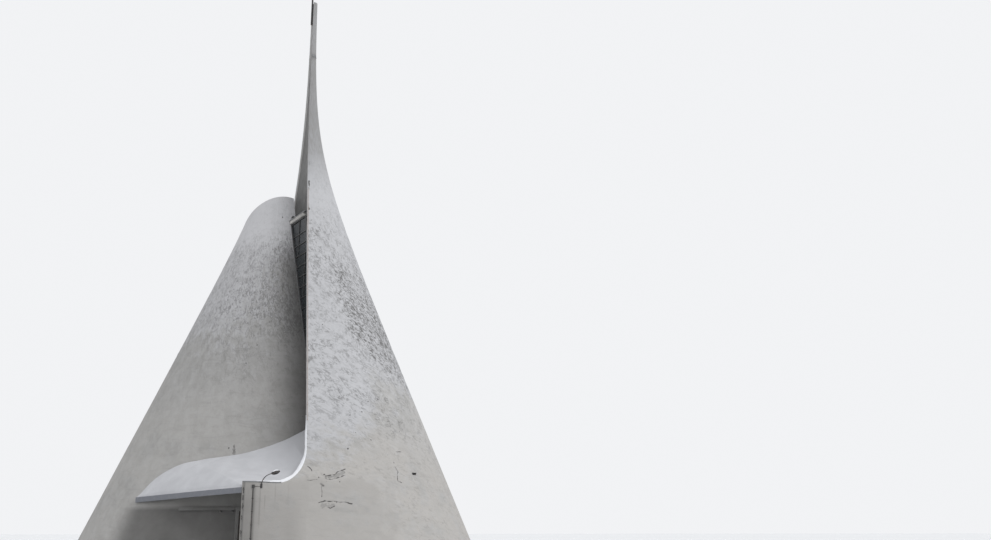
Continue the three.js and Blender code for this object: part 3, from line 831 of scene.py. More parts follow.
TALL_AXIS = np.array([0.6, -1.3])
LOW_AXIS = np.array([-0.6, 1.3])
WALL = 0.3
SWEEP_DEGREES = 196.5
SWEEP = math.radians(SWEEP_DEGREES)
DOOR_TURN = math.radians(-6)
DOOR_HOLE = 1.13
DOOR_HOLE_TOP = 2.82
DOOR_WALL_TOP = 8.0
SPIRE_FOOT = 23.0
SPIRE_JOINT = 33.0
SPIRE_TOP = 37.0
CONE_SLOPE = 0.43
CONE_TIP = 26.8
SPIRE_RADIUS = 0.24
FLARE = 1.2
RIM_LOW = 21.6
RIM_RISE = 1.51
FLAT_RADIUS = 6.0
PATCH_SINK = -0.03
PATCH_EDGE = 0.003
PATCH_RISE = 0.009
CRACK_EDGE = 0.12


def shell_radius(z: Array) -> Array:
    """Radius of a shell's outer face: a cone that flares into a slender spire.

    It is the spire's radius plus a softened excess of the cone's radius over it: the
    flare times the logarithm of 1 plus e to the power of that excess over the flare.
    """
    cone = CONE_SLOPE * (CONE_TIP - np.asarray(z, float))
    return SPIRE_RADIUS + FLARE * np.log1p(np.exp((cone - SPIRE_RADIUS) / FLARE))


def round_axis(axis: Array, angle: Array, distance: Array, z: Array) -> Array:
    """Places at angles and distances round an upright axis."""
    return places(axis[0] + distance * np.sin(angle), axis[1] - distance * np.cos(angle), z)


def low_rim(angle: Array) -> Array:
    """Height of the low shell's rim: a slanted plane's rise where the cosine is positive."""
    return RIM_LOW + RIM_RISE * np.maximum(np.cos(angle), 0)


def spray(points: Array, frost: Array) -> Array:
    """How far the sprayed surface stands out: wide waves, lumps and a crust of frost.

    Args:
        points: places on the plain face.
        frost: the frost's mark there.

    Returns:
        Distances out from the face.
    """
    waves = 0.006 * lumps(points, 2.6, 11, 2)
    crust = 0.010 * frost * lumps(points * np.array([1, 1, 1.8]), 0.55, 23, 2)
    return waves + crust - 0.004


@dataclass(frozen=True)
class Cluster:
    """Dark mottles round a turn and a height, with their spread either way and strength."""

    turn: float
    wide: float
    z: float
    high: float
    strength: float

    def mark(self, turn: Array, z: Array) -> Array:
        """The cluster's mark at turns and heights."""
        return self.strength * mound(turn, self.turn, self.wide) * mound(z, self.z, self.high)


TALL_CLUSTERS = (
    Cluster(42, 11, 13.9, 1.6, 1.25), Cluster(60, 14, 13.8, 2.4, 0.7), Cluster(31, 8, 16.8, 1.0, 0.45),
)
FAR_CLUSTER = Cluster(150, 30, 13, 6, 0.4)
REPAIR_TOP = (4.5, 4.15)
REPAIR_SIDE = (30, 21)
FROST_CLIMBS = (13, 40)
FROST_THINS = (9.0, 5.5)
FOOT_FILM = (9.0, 6.0)
MOTTLES_START = (5, 10)
MOTTLES_END = (19.5, 22.5)
SAND_ENDS = (4, 10)
SPIRE_DULLS = (22.5, 27)
SPIRE_CLEARS = (24, 28)
FAR_EDGE_TOP = 22


def tall_weather(turn: Array, z: Array, points: Array) -> Marks:
    """Frost over the middle heights, dark mottles on the weather side, sandy foot.

    The named pairs are heights, or degrees round, between which a share eases from 0 to 1.

    Args:
        turn: degrees from the near edge of the tall shell, negative on the wing wall.
        z: heights.
        points: places, for the noise.

    Returns:
        Marks from 0 to 1.
    """
    wander = lumps(points, 3.0, 5, 2)
    ragged = lumps(points, 0.6, 8, 3)
    repaired = smooth(*REPAIR_TOP, z + 0.35 * ragged * smooth(0, 6, turn))
    repaired = repaired * smooth(*REPAIR_SIDE, turn + 9 * ragged)
    low_edge = 4.2 + 5.0 * smooth(*FROST_CLIMBS, turn)
    spire = smooth(*SPIRE_DULLS, z)

    frost = 0.22 + 0.78 * smooth(low_edge - 2.0, low_edge + 3.5, z + 2.6 * wander)
    frost = frost * (1 - 0.5 * spire) + 0.12 * lumps(points, 1.4, 7, 2)
    frost = frost * (1 - 0.5 * smooth(*FROST_THINS, z + wander)) + 0.1 * smooth(*FOOT_FILM, z)
    frost = frost * (1 - 0.85 * repaired)

    astray, drift = turn + 9 * lumps(points, 1.6, 11, 2), z + 1.5 * wander
    dark = sum(cluster.mark(astray, drift) for cluster in TALL_CLUSTERS) + FAR_CLUSTER.mark(turn, drift)
    spread = 0.28 * smooth(*MOTTLES_START, z + 2 * wander) * (1 - smooth(*MOTTLES_END, z))
    dark = dark + spread * (1 + 0.9 * wander)
    dark = (dark + 0.2 - 0.2 * smooth(*SPIRE_CLEARS, z)) * (1 - 0.85 * repaired)

    warm = np.maximum(1 - smooth(*SAND_ENDS, z + 2 * wander), repaired)
    grime = 0.05 + 0.42 * spire + 0.25 * mound(turn, SWEEP_DEGREES, 12) * (z < FAR_EDGE_TOP)
    grime = grime + 0.06 * (1 - smooth(5, 9, z)) + 0.14 * repaired * smooth(-6, 0, turn)
    joint = 0.4 * mound(z, SPIRE_JOINT - 0.05, 0.14) - 0.06 * smooth(SPIRE_JOINT, SPIRE_JOINT + 0.2, z)
    return {"frost": clip(frost), "dark": clip(dark), "warm": clip(warm), "grime": clip(grime + joint)}


@dataclass(frozen=True)
class Crack:
    """A crack, hole or joint: its width, its line's knots, and the most its mark may be."""

    width: float
    knots: tuple[Pair, ...]
    most: float = 1.0


def hole(width: float, across: float, z: float) -> Crack:
    """A small hole, as a very short crack."""
    return Crack(width, ((across, z), (across, z + 0.01)))


def crack_marks(across: Array, z: Array, cracks: Sequence[Crack]) -> Array:
    """Mark that is over a half inside cracks and under a half outside them.

    It is a half, plus the crack's half width less the distance to its line over 12 cm.
    The places wander by noise first and the half width swells with noise, so that the
    lines are ragged and break up.

    Args:
        across: distances across the face.
        z: heights.
        cracks: their knots are in the same metres.

    Returns:
        The marks, from 0 to 1.
    """
    spots = places(across, z, 0)
    x = across + 0.045 * lumps(spots, 0.3, 31, 3)
    y = z + 0.045 * lumps(spots + 9.0, 0.3, 32, 3)
    swell = 0.65 + 0.9 * lumps(spots, 0.14, 33, 2)
    mark = np.zeros(x.shape)
    for crack in cracks:
        knots = np.array(crack.knots, float)
        for start, end in zip(knots[:-1], knots[1:]):
            run = end - start
            share = clip(((x - start[0]) * run[0] + (y - start[1]) * run[1]) / (run @ run))
            away = np.hypot(x - start[0] - share * run[0], y - start[1] - share * run[1])
            inside = 0.5 + (crack.width / 2 * swell - away) / CRACK_EDGE
            mark = np.maximum(mark, np.minimum(inside, crack.most))
    return clip(mark)


def cracked_patch(reach: Pair, heights: Pair, cracks: Sequence[Crack], step: float) -> tuple[Array, ...]:
    """Even grid over a patch that stands proud of a face and has cracks in it.

    It stands 3 mm proud at its border, 12 mm inside and 3 mm in its cracks, which fade
    out at the border.

    Args:
        reach: least and greatest distance across the face.
        heights: least and greatest height.
        cracks: their knots are in the same metres.
        step: size of the grid's cells.

    Returns:
        Distances across, heights, crack marks and how proud the patch stands.
    """
    across, z = np.meshgrid(
        *(np.linspace(*span, max(8, round((span[1] - span[0]) / step))) for span in (reach, heights))
    )
    border = np.minimum.reduce([across - reach[0], reach[1] - across, z - heights[0], heights[1] - z])
    crack = crack_marks(across, z, cracks) * smooth(0, 0.03, border)
    rise = PATCH_RISE * smooth(0, 0.14, border) * (1 - smooth(0.4, 0.55, crack))
    return across, z, crack, PATCH_EDGE + rise


@dataclass
class Shell:
    """One conical half shell, smooth and finely divided, with its doorway cut out.

    The lowest of its levels is the doorway's, and each is a height with the number of
    coarse rows that follow it.
    """

    label: str
    axis: Array
    start: float
    top: float
    replaced: Sequence[str]
    finish: Finish
    levels: tuple[tuple[float, int], ...]
    coarse: int = 4
    door_columns: tuple[int, int, int] = (68, 6, 8)

    def angles(self, share: Array, distance: Array) -> Array:
        """Angles of the columns: even steps up to the doorway's sides, across it and on.

        A side of the doorway is parallel to its middle plane, so its angle from the
        middle is the arcsine of the half width over the distance, up to a limit.

        Args:
            share: shares of all the columns.
            distance: distances from the axis.

        Returns:
            Angles round the axis.
        """
        a, b = (np.cumsum(self.door_columns) / sum(self.door_columns))[:2]
        limit = math.asin(DOOR_HOLE / float(shell_radius(DOOR_WALL_TOP)))
        half = np.minimum(np.arcsin(np.minimum(DOOR_HOLE / distance, 0.9)), limit)
        middle = math.pi + DOOR_TURN
        before = share / a * (middle - half)
        across = (middle - half) + (share - a) / (b - a) * 2 * half
        after = (middle + half) + (share - b) / (1 - b) * (SWEEP - middle - half)
        return self.start + np.where(share <= a, before, np.where(share <= b, across, after))

    def fitted(self, share: Array, z: Array) -> Array:
        """Heights of the rows, fitted to the shell's top."""
        return z

    def grid(self, count: int, inset: float) -> tuple[Array, Array, Array]:
        """Grid of one face: angles, heights and places.

        Args:
            count: fine steps in each coarse step.
            inset: distance from the outer face, 0 or the wall's thickness.

        Returns:
            Angles, heights and places, as grids.
        """
        ends = [*[z for z, _ in self.levels[1:]], self.top]
        runs = [np.linspace(low, top, rows * count, False) for (low, rows), top in zip(self.levels, ends)]
        columns = np.linspace(0, 1, sum(self.door_columns) * count + 1)
        share, z = np.meshgrid(columns, np.concatenate([*runs, [self.top]]))
        z = self.fitted(share, z)
        distance = np.maximum(shell_radius(z) - inset, 0.03)
        angle = self.angles(share, np.maximum(distance, 0.1))
        return angle, z, round_axis(self.axis, angle, distance, z)

    def marks(self, angle: Array, z: Array, points: Array) -> Marks:
        """Where frost, dark mottles and the warm sandy tone gather."""
        raise NotImplementedError

    def flat(self, angle: Array, z: Array) -> Array:
        """Flat coordinates of the pattern: the arc at one fixed radius, and the height."""
        return places((angle - self.start) * FLAT_RADIUS, z)

    def skin(self, angle: Array, z: Array, lift: Any = 0.0) -> Array:
        """Places on the sprayed outer face, or a lift above it.

        Args:
            angle: angles round the axis.
            z: heights, as many as the angles.
            lift: distance from the sprayed face.

        Returns:
            The places.
        """
        plain = round_axis(self.axis, angle, shell_radius(z), z)
        edge = np.minimum(smooth(0, 0.02, angle - self.start), smooth(0, 0.02, self.start + SWEEP - angle))
        out = spray(plain, self.marks(angle, z, plain)["frost"])
        out = out * edge * smooth(0, 0.3, z) * smooth(0.3, 2.0, shell_radius(z)) + lift
        return plain + out[..., None] * places(np.sin(angle), -np.cos(angle), 0)

    def patch(
        self, surface: Surface, turn: float, reach: Pair, heights: Pair, cracks: Sequence[Crack],
        step: float = 0.022,
    ) -> None:
        """Adds a fine patch of the sprayed face, a few millimetres proud, with cracks in it.

        Args:
            surface: what the patch is added to.
            turn: degrees from the shell's start that distances are counted from.
            reach: least and greatest distance round from there, in metres.
            heights: least and greatest height.
            cracks: their knots are degrees from the shell's start, and heights.
            step: size of the grid's cells.
        """
        lines = []
        for crack in cracks:
            knots = tuple((math.radians(a - turn) * float(shell_radius(z)), z) for a, z in crack.knots)
            lines.append(replace(crack, knots=knots))
        arc, z, crack, lift = cracked_patch(reach, heights, lines, step)
        angle = self.start + math.radians(turn) + arc / shell_radius(z)
        marks = self.marks(angle, z, round_axis(self.axis, angle, shell_radius(z), z))
        faces = (self.skin(angle, z, out) for out in (lift, PATCH_SINK))
        surface.sheet(*faces, flat=self.flat(angle, z), crack=crack, **marks)

    def holes(self, surface: Surface, half: float, widths: Sequence[float], spots: Sequence[Pair]) -> None:
        """Adds a square patch with a hole at each turn and height."""
        for width, (turn, z) in zip(widths, spots):
            self.patch(surface, turn, (-half, half), (z - half, z + half), [hole(width, turn, z)])

    def build(self) -> None:
        """Closes a fine outer face and a coarse inner face round every border."""
        k = self.coarse
        angle, z, outer = self.grid(k, 0.0)
        inner_angle, inner_z, inner = self.grid(1, WALL)
        kept = np.ones((inner.shape[0] - 1, inner.shape[1] - 1), bool)
        left, door, _ = self.door_columns
        kept[: self.levels[0][1], left : left + door] = False
        fine = np.arange(angle.size).reshape(angle.shape)
        rough = angle.size + np.arange(inner_angle.size).reshape(inner_angle.shape)
        outside = quads(fine)[np.kron(kept, np.ones((k, k), bool)).astype(bool)]
        inside = quads(rough)[kept][:, [0, 3, 2, 1]]
        faces = [outside, inside, *self.borders(kept, fine, rough)]
        used = np.unique(np.concatenate([block.reshape(-1) for block in faces]))

        def both(outer_values: Array, inner_values: Array, width: int = 1) -> Array:
            """Values at the used points of the outer face and then of the inner one."""
            return np.concatenate([v.reshape(-1, width) for v in (outer_values, inner_values)])[used]

        marks = {
            name: both(values, np.full(inner_z.shape, 0.34 if name == "grime" else 0.0))
            for name, values in self.marks(angle, z, outer).items()
        }
        flat = both(self.flat(angle, z), self.flat(inner_angle, inner_z), 2)
        surface = Surface()
        faces = [np.searchsorted(used, block) for block in faces]
        surface.add(both(self.skin(angle, z), inner, 3), *faces, flat=flat, **marks)
        surface.piece(f"{self.label}_skin", self.finish, Slot.SPRAYED, replaces=self.replaced)

    def borders(self, kept: Array, fine: Array, rough: Array) -> list[Array]:
        """Faces that join the fine and coarse faces along each border of the kept cells.

        Args:
            kept: which coarse cells there are.
            fine: point numbers of the outer face.
            rough: point numbers of the inner face.

        Returns:
            A block of faces for each of the four sides that a cell can end at.
        """
        k = self.coarse
        steps = np.arange(k + 1)
        padded = np.pad(kept, 1)
        blocks = []
        for down, along in ((-1, 0), (1, 0), (0, -1), (0, 1)):
            beyond = np.roll(padded, (-down, -along), (0, 1))
            r, c = np.nonzero((padded & ~beyond)[1:-1, 1:-1])
            row, column = (r + (down > 0))[:, None], (c + (along > 0))[:, None]
            if down:
                chain, ends = fine[row * k, column * k + steps], rough[row, column + np.array([1, 0])]
            else:
                chain, ends = fine[row * k + steps, column * k], rough[row + np.array([1, 0]), column]
            blocks.append(np.concatenate([chain, ends], axis=1))
        return blocks


@dataclass
class TallShell(Shell):
    """The shell that ends in the spire."""

    def marks(self, angle: Array, z: Array, points: Array) -> Marks:
        """As the tall side's weather."""
        return tall_weather(np.degrees(angle - self.start), z, points)


@dataclass
class LowShell(Shell):
    """The shell that is cut off by a slanted plane.

    The pairs are heights, or turns in degrees for the sheltered side under the porch,
    between which a share of its weathering, or of its painted shade, eases from 0 to 1.
    """

    glass_foot: Pair = (4.5, 7)
    frosted: Pair = (9.5, 17.0)
    mottled: Pair = (9.0, 16.5)
    mottled_end: Pair = (18.5, 21.5)
    upper: Pair = (17.5, 20.5)
    glass_head: Pair = (18.0, 20.5)
    sand_ends: Pair = (7, 13)
    sheltered: Pair = (-56, -44)
    shelter_top: Pair = (4.6, 5.2)
    band_foot: Pair = (2.75, 2.9)

    def fitted(self, share: Array, z: Array) -> Array:
        """Heights above the doorway's wall stretch up to the rim.

        Args:
            share: shares of all the columns.
            z: heights on a shell with a level rim.

        Returns:
            Heights on this shell.
        """
        rim = low_rim(self.angles(share, shell_radius(z)))
        t = clip((z - DOOR_WALL_TOP) / (self.top - DOOR_WALL_TOP))
        return np.where(t > 0, DOOR_WALL_TOP + t * (rim - DOOR_WALL_TOP), z)

    def marks(self, angle: Array, z: Array, points: Array) -> Marks:
        """Thin frost high up and away from the glass; darkening beside the glass that is partly painted shade
        and partly dirt, and painted shade under the porch.

        Args:
            angle: angles round the axis.
            z: heights.
            points: places, for the noise.

        Returns:
            Marks from 0 to 1.
        """
        turn = np.degrees(angle) - 360
        wander = lumps(points, 3.0, 6, 2)
        gap = np.degrees(slot_angle(LOW_AXIS, shell_radius(z), 0.0)) - turn
        # beside and near: darker towards the glass, painted shade from the tall shell's wall together with
        # real water staining.
        beside = mound(np.maximum(gap, 0), 0, 14) * smooth(*self.glass_foot, z)
        near = mound(np.maximum(gap, 0), 0, 38)
        upper = smooth(*self.upper, z)
        frost = 0.8 * smooth(*self.frosted, z + 2 * wander) * (1 - 0.6 * near * (1 - upper))
        frost = frost + 0.12 + 0.1 * upper
        high = smooth(*self.mottled, z + 1.5 * wander) * (1 - smooth(*self.mottled_end, z + wander))
        dark = 0.4 * mound(gap, 8, 8) * high + 0.52 * high * (1 + 0.7 * wander)
        # More threads and mottles near the glass, partly painted shade.
        dark = dark + 0.15 * near * smooth(6, 9, z) + 0.1
        warm = clip(1 - smooth(*self.sand_ends, z + 2 * wander)) * 0.5
        # Painted shade under the porch roof, fainter above the band's foot.
        under = smooth(*self.sheltered, turn) * (1 - smooth(*self.shelter_top, z - 0.042 * (turn + 12)))
        under = under * (0.8 - 0.5 * smooth(*self.band_foot, z))
        # Darkening: dirt, and painted shade beside the glass and under the porch; less high up.
        grime = 0.125 + 0.5 * beside * (1 - 0.95 * smooth(*self.glass_head, z)) - 0.125 * upper
        grime = grime + 0.17 * near * smooth(*self.glass_foot, z) * (1 - upper) + under
        grime = grime + 0.05 * mound(z, 11.5, 3.0)
        grime = grime + 0.1 * wander * near
        return {"frost": clip(frost), "dark": clip(dark), "warm": warm, "grime": clip(grime)}


def shell_nodes(label: str) -> list[str]:
    """Names of the solids that make up one shell."""
    ends = (1, 2, 3, 4, "left_of_door", "right_of_door", "over_door", "above_door")
    return [f"{label}_{end}" for end in ends]


# Wing wall, porch and glazed slot

WING_END = -2.75
WING_FACE = -12.8
WING_TOP = 4.05
SWEEP_START = -1.0
SWEEP_RISE = 1.95
SLOT_TURN = math.radians(16)
SLOT_X = -0.489
SLOT_ALONG = np.array([math.sin(SLOT_TURN), -math.cos(SLOT_TURN), 0])
SLOT_INTO = np.array([math.cos(SLOT_TURN), math.sin(SLOT_TURN), 0])
PORCH_START = -48.0
PORCH_REACH = 64.0
PORCH_START_OUT = 10.235
PORCH_SLOT_OFFSET = -0.126
PORCH_GAP = 0.004
PORCH_ON_SHELL = (
    (-48, 3.42), (-43, 4.3), (-37, 4.85), (-26, 5.32), (-12, 5.62), (-1, 6.15), (10, 6.96), (16, 7.42),
)
PORCH_AT_EAVE = ((0, 3.4), (5, 3.75), (9, 3.9), (11, 4.08), (13, 4.45), (15, 5.05), (18, 6.3))
LEVEL_STEPS = 4
SWEEP_STEPS = 6
EAVE_STEPS = 5
SHELL_STEPS = 3
WING_STEPS = LEVEL_STEPS + SWEEP_STEPS
PORCH_STEPS = EAVE_STEPS + WING_STEPS + SHELL_STEPS


def wing_turn(step: Array) -> Array:
    """Turn along the wing wall's curve: none on its level part and a quarter at its end."""
    return clip((step - LEVEL_STEPS) / SWEEP_STEPS) * math.pi / 2


def wing_x(step: Array) -> Array:
    """X along the wing wall: even steps on its level part, then the sine of the turn."""
    level = WING_END + (SWEEP_START - WING_END) * np.minimum(step, LEVEL_STEPS) / LEVEL_STEPS
    return level + (TALL_AXIS[0] - SWEEP_START) * np.sin(wing_turn(step))


def wing_top(step: Array) -> Array:
    """Height of the wing wall's top: level, then a quarter curve of 1 less the cosine."""
    return WING_TOP + SWEEP_RISE * (1 - np.cos(wing_turn(step)))


def wing_face(x: Array, z: Array) -> Array:
    """Y of the wing wall's outer face: eased from the cone's to a plumb plane at its end.

    Args:
        x: places along the wall.
        z: heights.

    Returns:
        Y at each.
    """
    plumb = smooth(0, TALL_AXIS[0] - WING_END, TALL_AXIS[0] - x)
    cone = TALL_AXIS[1] - shell_radius(z)
    return cone + (WING_FACE - cone) * plumb


def slot_meets(axis: Array, distance: Array, offset: float) -> Array:
    """Where the slot's upright plane, moved inwards by an offset, meets a circle.

    The plane is x = shift - slope * y; the circle is round an axis. The root of their
    quadratic that lies towards -Y is taken.

    Args:
        axis: X and Y of the circle's middle.
        distance: the circle's radius.
        offset: how far inwards the plane is moved.

    Returns:
        X and Y of the place.
    """
    slope = math.tan(SLOT_TURN)
    shift = SLOT_X + offset / math.cos(SLOT_TURN) - axis[0]
    a = 1 + slope * slope
    b = -2 * axis[1] - 2 * slope * shift
    c = axis[1] ** 2 + shift**2 - np.asarray(distance, float) ** 2
    y = (-b - np.sqrt(b * b - 4 * a * c)) / (2 * a)
    return places(axis[0] + shift - slope * y, y)


def slot_angle(axis: Array, distance: Array, offset: float) -> Array:
    """Angle round an axis of the place that slot_meets gives."""
    place = slot_meets(axis, distance, offset)
    return np.arctan2(place[..., 0] - axis[0], axis[1] - place[..., 1])


def slot_place(distance: Array, offset: Array, z: Array) -> Array:
    """Place in the slot: distance along its plane towards -Y, offset inwards, and height."""
    x, y = (distance * SLOT_ALONG[i] + offset * SLOT_INTO[i] for i in range(2))
    return places(SLOT_X + x, y, z)


def slot_distance(place: Array) -> Array:
    """Distance of a place along the slot's plane."""
    return (place[..., 0] - SLOT_X) * SLOT_ALONG[0] + place[..., 1] * SLOT_ALONG[1]


def slot_start(z: Array, offset: float) -> Array:
    """Distance at which the slot starts, on the low shell's outer face."""
    return slot_distance(slot_meets(LOW_AXIS, shell_radius(z), offset))


def slot_end(z: Array, offset: float) -> Array:
    """Distance at which the slot ends: on the tall shell's inner face or on its edge.

    Args:
        z: heights.
        offset: how far inwards the slot's plane is moved.

    Returns:
        Distances along the plane.
    """
    inside = slot_meets(TALL_AXIS, shell_radius(z) - WALL - 0.02, offset)
    slope = math.tan(SLOT_TURN)
    shift = SLOT_X + offset / math.cos(SLOT_TURN)
    y = np.maximum((shift - TALL_AXIS[0] + 0.025) / slope, TALL_AXIS[1] - shell_radius(z))
    edge = places(shift - slope * y, y)
    return slot_distance(np.where(inside[..., :1] > TALL_AXIS[0], inside, edge))


@dataclass
class EndPart:
    """A sub-assembly that each end of the building has."""

    end: End

    def name(self, word: str) -> str:
        """Name of one of its pieces or solids."""
        return f"{self.end.value}_{word}"


@dataclass
class WingWall(EndPart):
    """The wall that carries on from the tall shell's near edge, with its coping.

    A stain is a place along the wall, its width and strength, and its foot and head; the
    first, along the conduit, is partly the conduit's painted shadow. A spall is the height
    of its top and its length. The pairs for shades and drifts are heights, or places
    along the wall, between which a share eases from 0 to 1.
    """

    stains: tuple[tuple[float, ...], ...] = (
        (-2.15, 0.06, 0.26, -1.0, 3.9), (-1.84, 0.03, 0.22, 1.6, 3.7), (-1.58, 0.02, 0.16, 2.4, 3.4),
        (-1.05, 0.025, 0.14, 2.8, 4.0), (-0.35, 0.02, 0.14, 3.0, 4.0), (-2.66, 0.05, 0.3, -1.0, 4.1),
    )
    spalls: tuple[Pair, ...] = (
        (3.75, 0.3), (3.32, 0.16), (2.95, 0.3), (2.3, 0.15), (1.62, 0.28), (0.95, 0.2), (0.4, 0.25),
    )
    shade_ends: Pair = (2.5, 6.0)
    shade_along: Pair = (0.8, -0.4)
    end_shade: Pair = (-1.7, -2.5)
    drift_starts: Pair = (-1.9, -0.7)
    drift_falls: tuple[Pair, Pair] = ((4.9, 6.2), (6.3, 7.8))
    arris: float = WING_END + 0.055
    fold: tuple[Pair, ...] = ((0.165, -0.045), (0.171, -0.045), (0.171, 0.012))
    gauge: float = 0.004
    columns: int = 90
    rows: int = 40

    def face(self, x: Array, z: Array, top: Any, lift: Any = 0.0) -> tuple[Array, Marks]:
        """The wall's sprayed face and its marks.

        Args:
            x: places along the wall.
            z: heights.
            top: height of the wall's top there.
            lift: distance from the sprayed face.

        Returns:
            The places, and the marks with the flat coordinates.
        """
        points = places(x, wing_face(x, z), z)
        turn = (x - TALL_AXIS[0]) / shell_radius(z)
        marks = tall_weather(np.degrees(turn), z, points)
        fade = smooth(0, 0.2, x - WING_END) * smooth(0, 0.25, top - z) * smooth(0, 0.3, z)
        fade = fade * smooth(0, 0.2, TALL_AXIS[0] - x)
        points[..., 1] -= (spray(points, marks["frost"]) + 0.002) * fade + lift
        # Stain marks; the one along the conduit is partly its painted shadow.
        stains = sum(
            strength * mound(x, place, wide) * smooth(foot, foot + 0.6, z) * (1 - smooth(head - 0.1, head, z))
            for place, wide, strength, foot, head in self.stains
        )
        shade = 0.33 * (1 - smooth(*self.shade_ends, z)) * smooth(*self.shade_along, x)
        shade = shade + 0.22 * smooth(*self.end_shade, x)
        marks["grime"] = clip(marks["grime"] + shade + stains)
        return points, {**marks, "flat": places(turn * FLAT_RADIUS, z)}

    def wall(self) -> None:
        """Grid of steps along the wall and shares of its height, pushed out by the spray."""
        step, share = even_grid((0, WING_STEPS), self.columns, (0, 1), self.rows)
        x, z = wing_x(step), wing_top(step) * share
        face, marks = self.face(x, z, wing_top(step))
        surface = Surface(self.end).sheet(face, places(x, wing_face(x, z) + WALL, z), **marks)
        surface.piece(self.name("wing_wall_skin"), CONCRETE, Slot.CAST, replaces=[self.name("wing_wall")])

    def corner(self) -> None:
        """Fine patch down the wall's plumb end, spalled along the arris."""
        x = self.arris
        cracks = [Crack(0.1, ((x, high), (x + 0.01, high - length))) for high, length in self.spalls]
        cracks.append(Crack(0.15, ((x, 0.1), (x, WING_TOP - 0.12)), 0.46))
        reach, heights = (WING_END + 0.002, WING_END + 0.24), (0.03, WING_TOP - 0.05)
        x, z, crack, lift = cracked_patch(reach, heights, cracks, 0.02)
        face, marks = self.face(x, z, WING_TOP, lift)
        back, _ = self.face(x, z, WING_TOP, PATCH_SINK)
        surface = Surface(self.end).sheet(face, back, crack=crack, **marks)
        surface.piece(self.name("wing_corner"), CONCRETE, Slot.CAST)

    def crest(self, step: Array, above: Any = 0.0) -> tuple[Array, Array]:
        """Middle line of the wall's top, then of the shell's edge above it, and its normal.

        Args:
            step: steps along the wing wall.
            above: heights above the wall's top.

        Returns:
            The line's places and its directions upwards.
        """
        x, z = wing_x(step), wing_top(step) + above
        line = places(x, wing_face(x, z) + WALL / 2, z)
        run = unit(np.gradient(line[:, [0, 2]], axis=0))
        return line, places(-run[:, 1], 0, run[:, 0])

    def coping(self) -> None:
        """Thin metal strip folded over the wall's top."""
        line, up = self.crest(np.linspace(0, LEVEL_STEPS + 0.6, 40))
        inner = self.fold[0][0]
        far = [(-x, y) for x, y in self.fold[::-1]]
        outline = [*self.fold, *far, (-inner, self.gauge), (inner, self.gauge)]
        Surface(self.end).sweep(outline, line, OUT, up).piece(self.name("wing_coping"), FLASHING, Slot.CAST)

    def snow(self) -> None:
        """Ridge of fresh snow in the wall's curve that thins out up the shell's edge.

        Its outline is half an ellipse on the crest's normal; its depth rises into the
        curve, falls with height and swells with noise.
        """
        step = np.concatenate([np.linspace(0.42 * LEVEL_STEPS, WING_STEPS, 130), np.full(50, WING_STEPS)])
        line, up = self.crest(step, np.concatenate([np.zeros(130), np.linspace(0.03, 1.8, 50)]))
        turn = np.linspace(-0.35, math.pi, 15)
        outline = places(0.012 + 0.155 * np.cos(turn), np.maximum(np.sin(turn), -0.3))
        x, z = line[:, 0], line[:, 2]
        fall = sum(smooth(*heights, z) for heights in self.drift_falls)
        depth = 0.035 + 0.085 * smooth(*self.drift_starts, x) - 0.055 * fall
        depth = np.maximum(depth * (1 + 0.45 * lumps(line, 0.4, 41, 3)), 0.004)[:, None]
        across = OUT * (1 + 0.1 * lumps(line, 0.3, 43, 2))[:, None]
        surface = Surface(self.end).sweep(outline, line + up * 0.01, across, up * depth)
        surface.piece(self.name("wing_snow"), FRESH_SNOW, Slot.CAST)

    def build(self) -> None:
        """Makes the wall and what lies on it."""
        for make in (self.wall, self.corner, self.coping, self.snow):
            make()


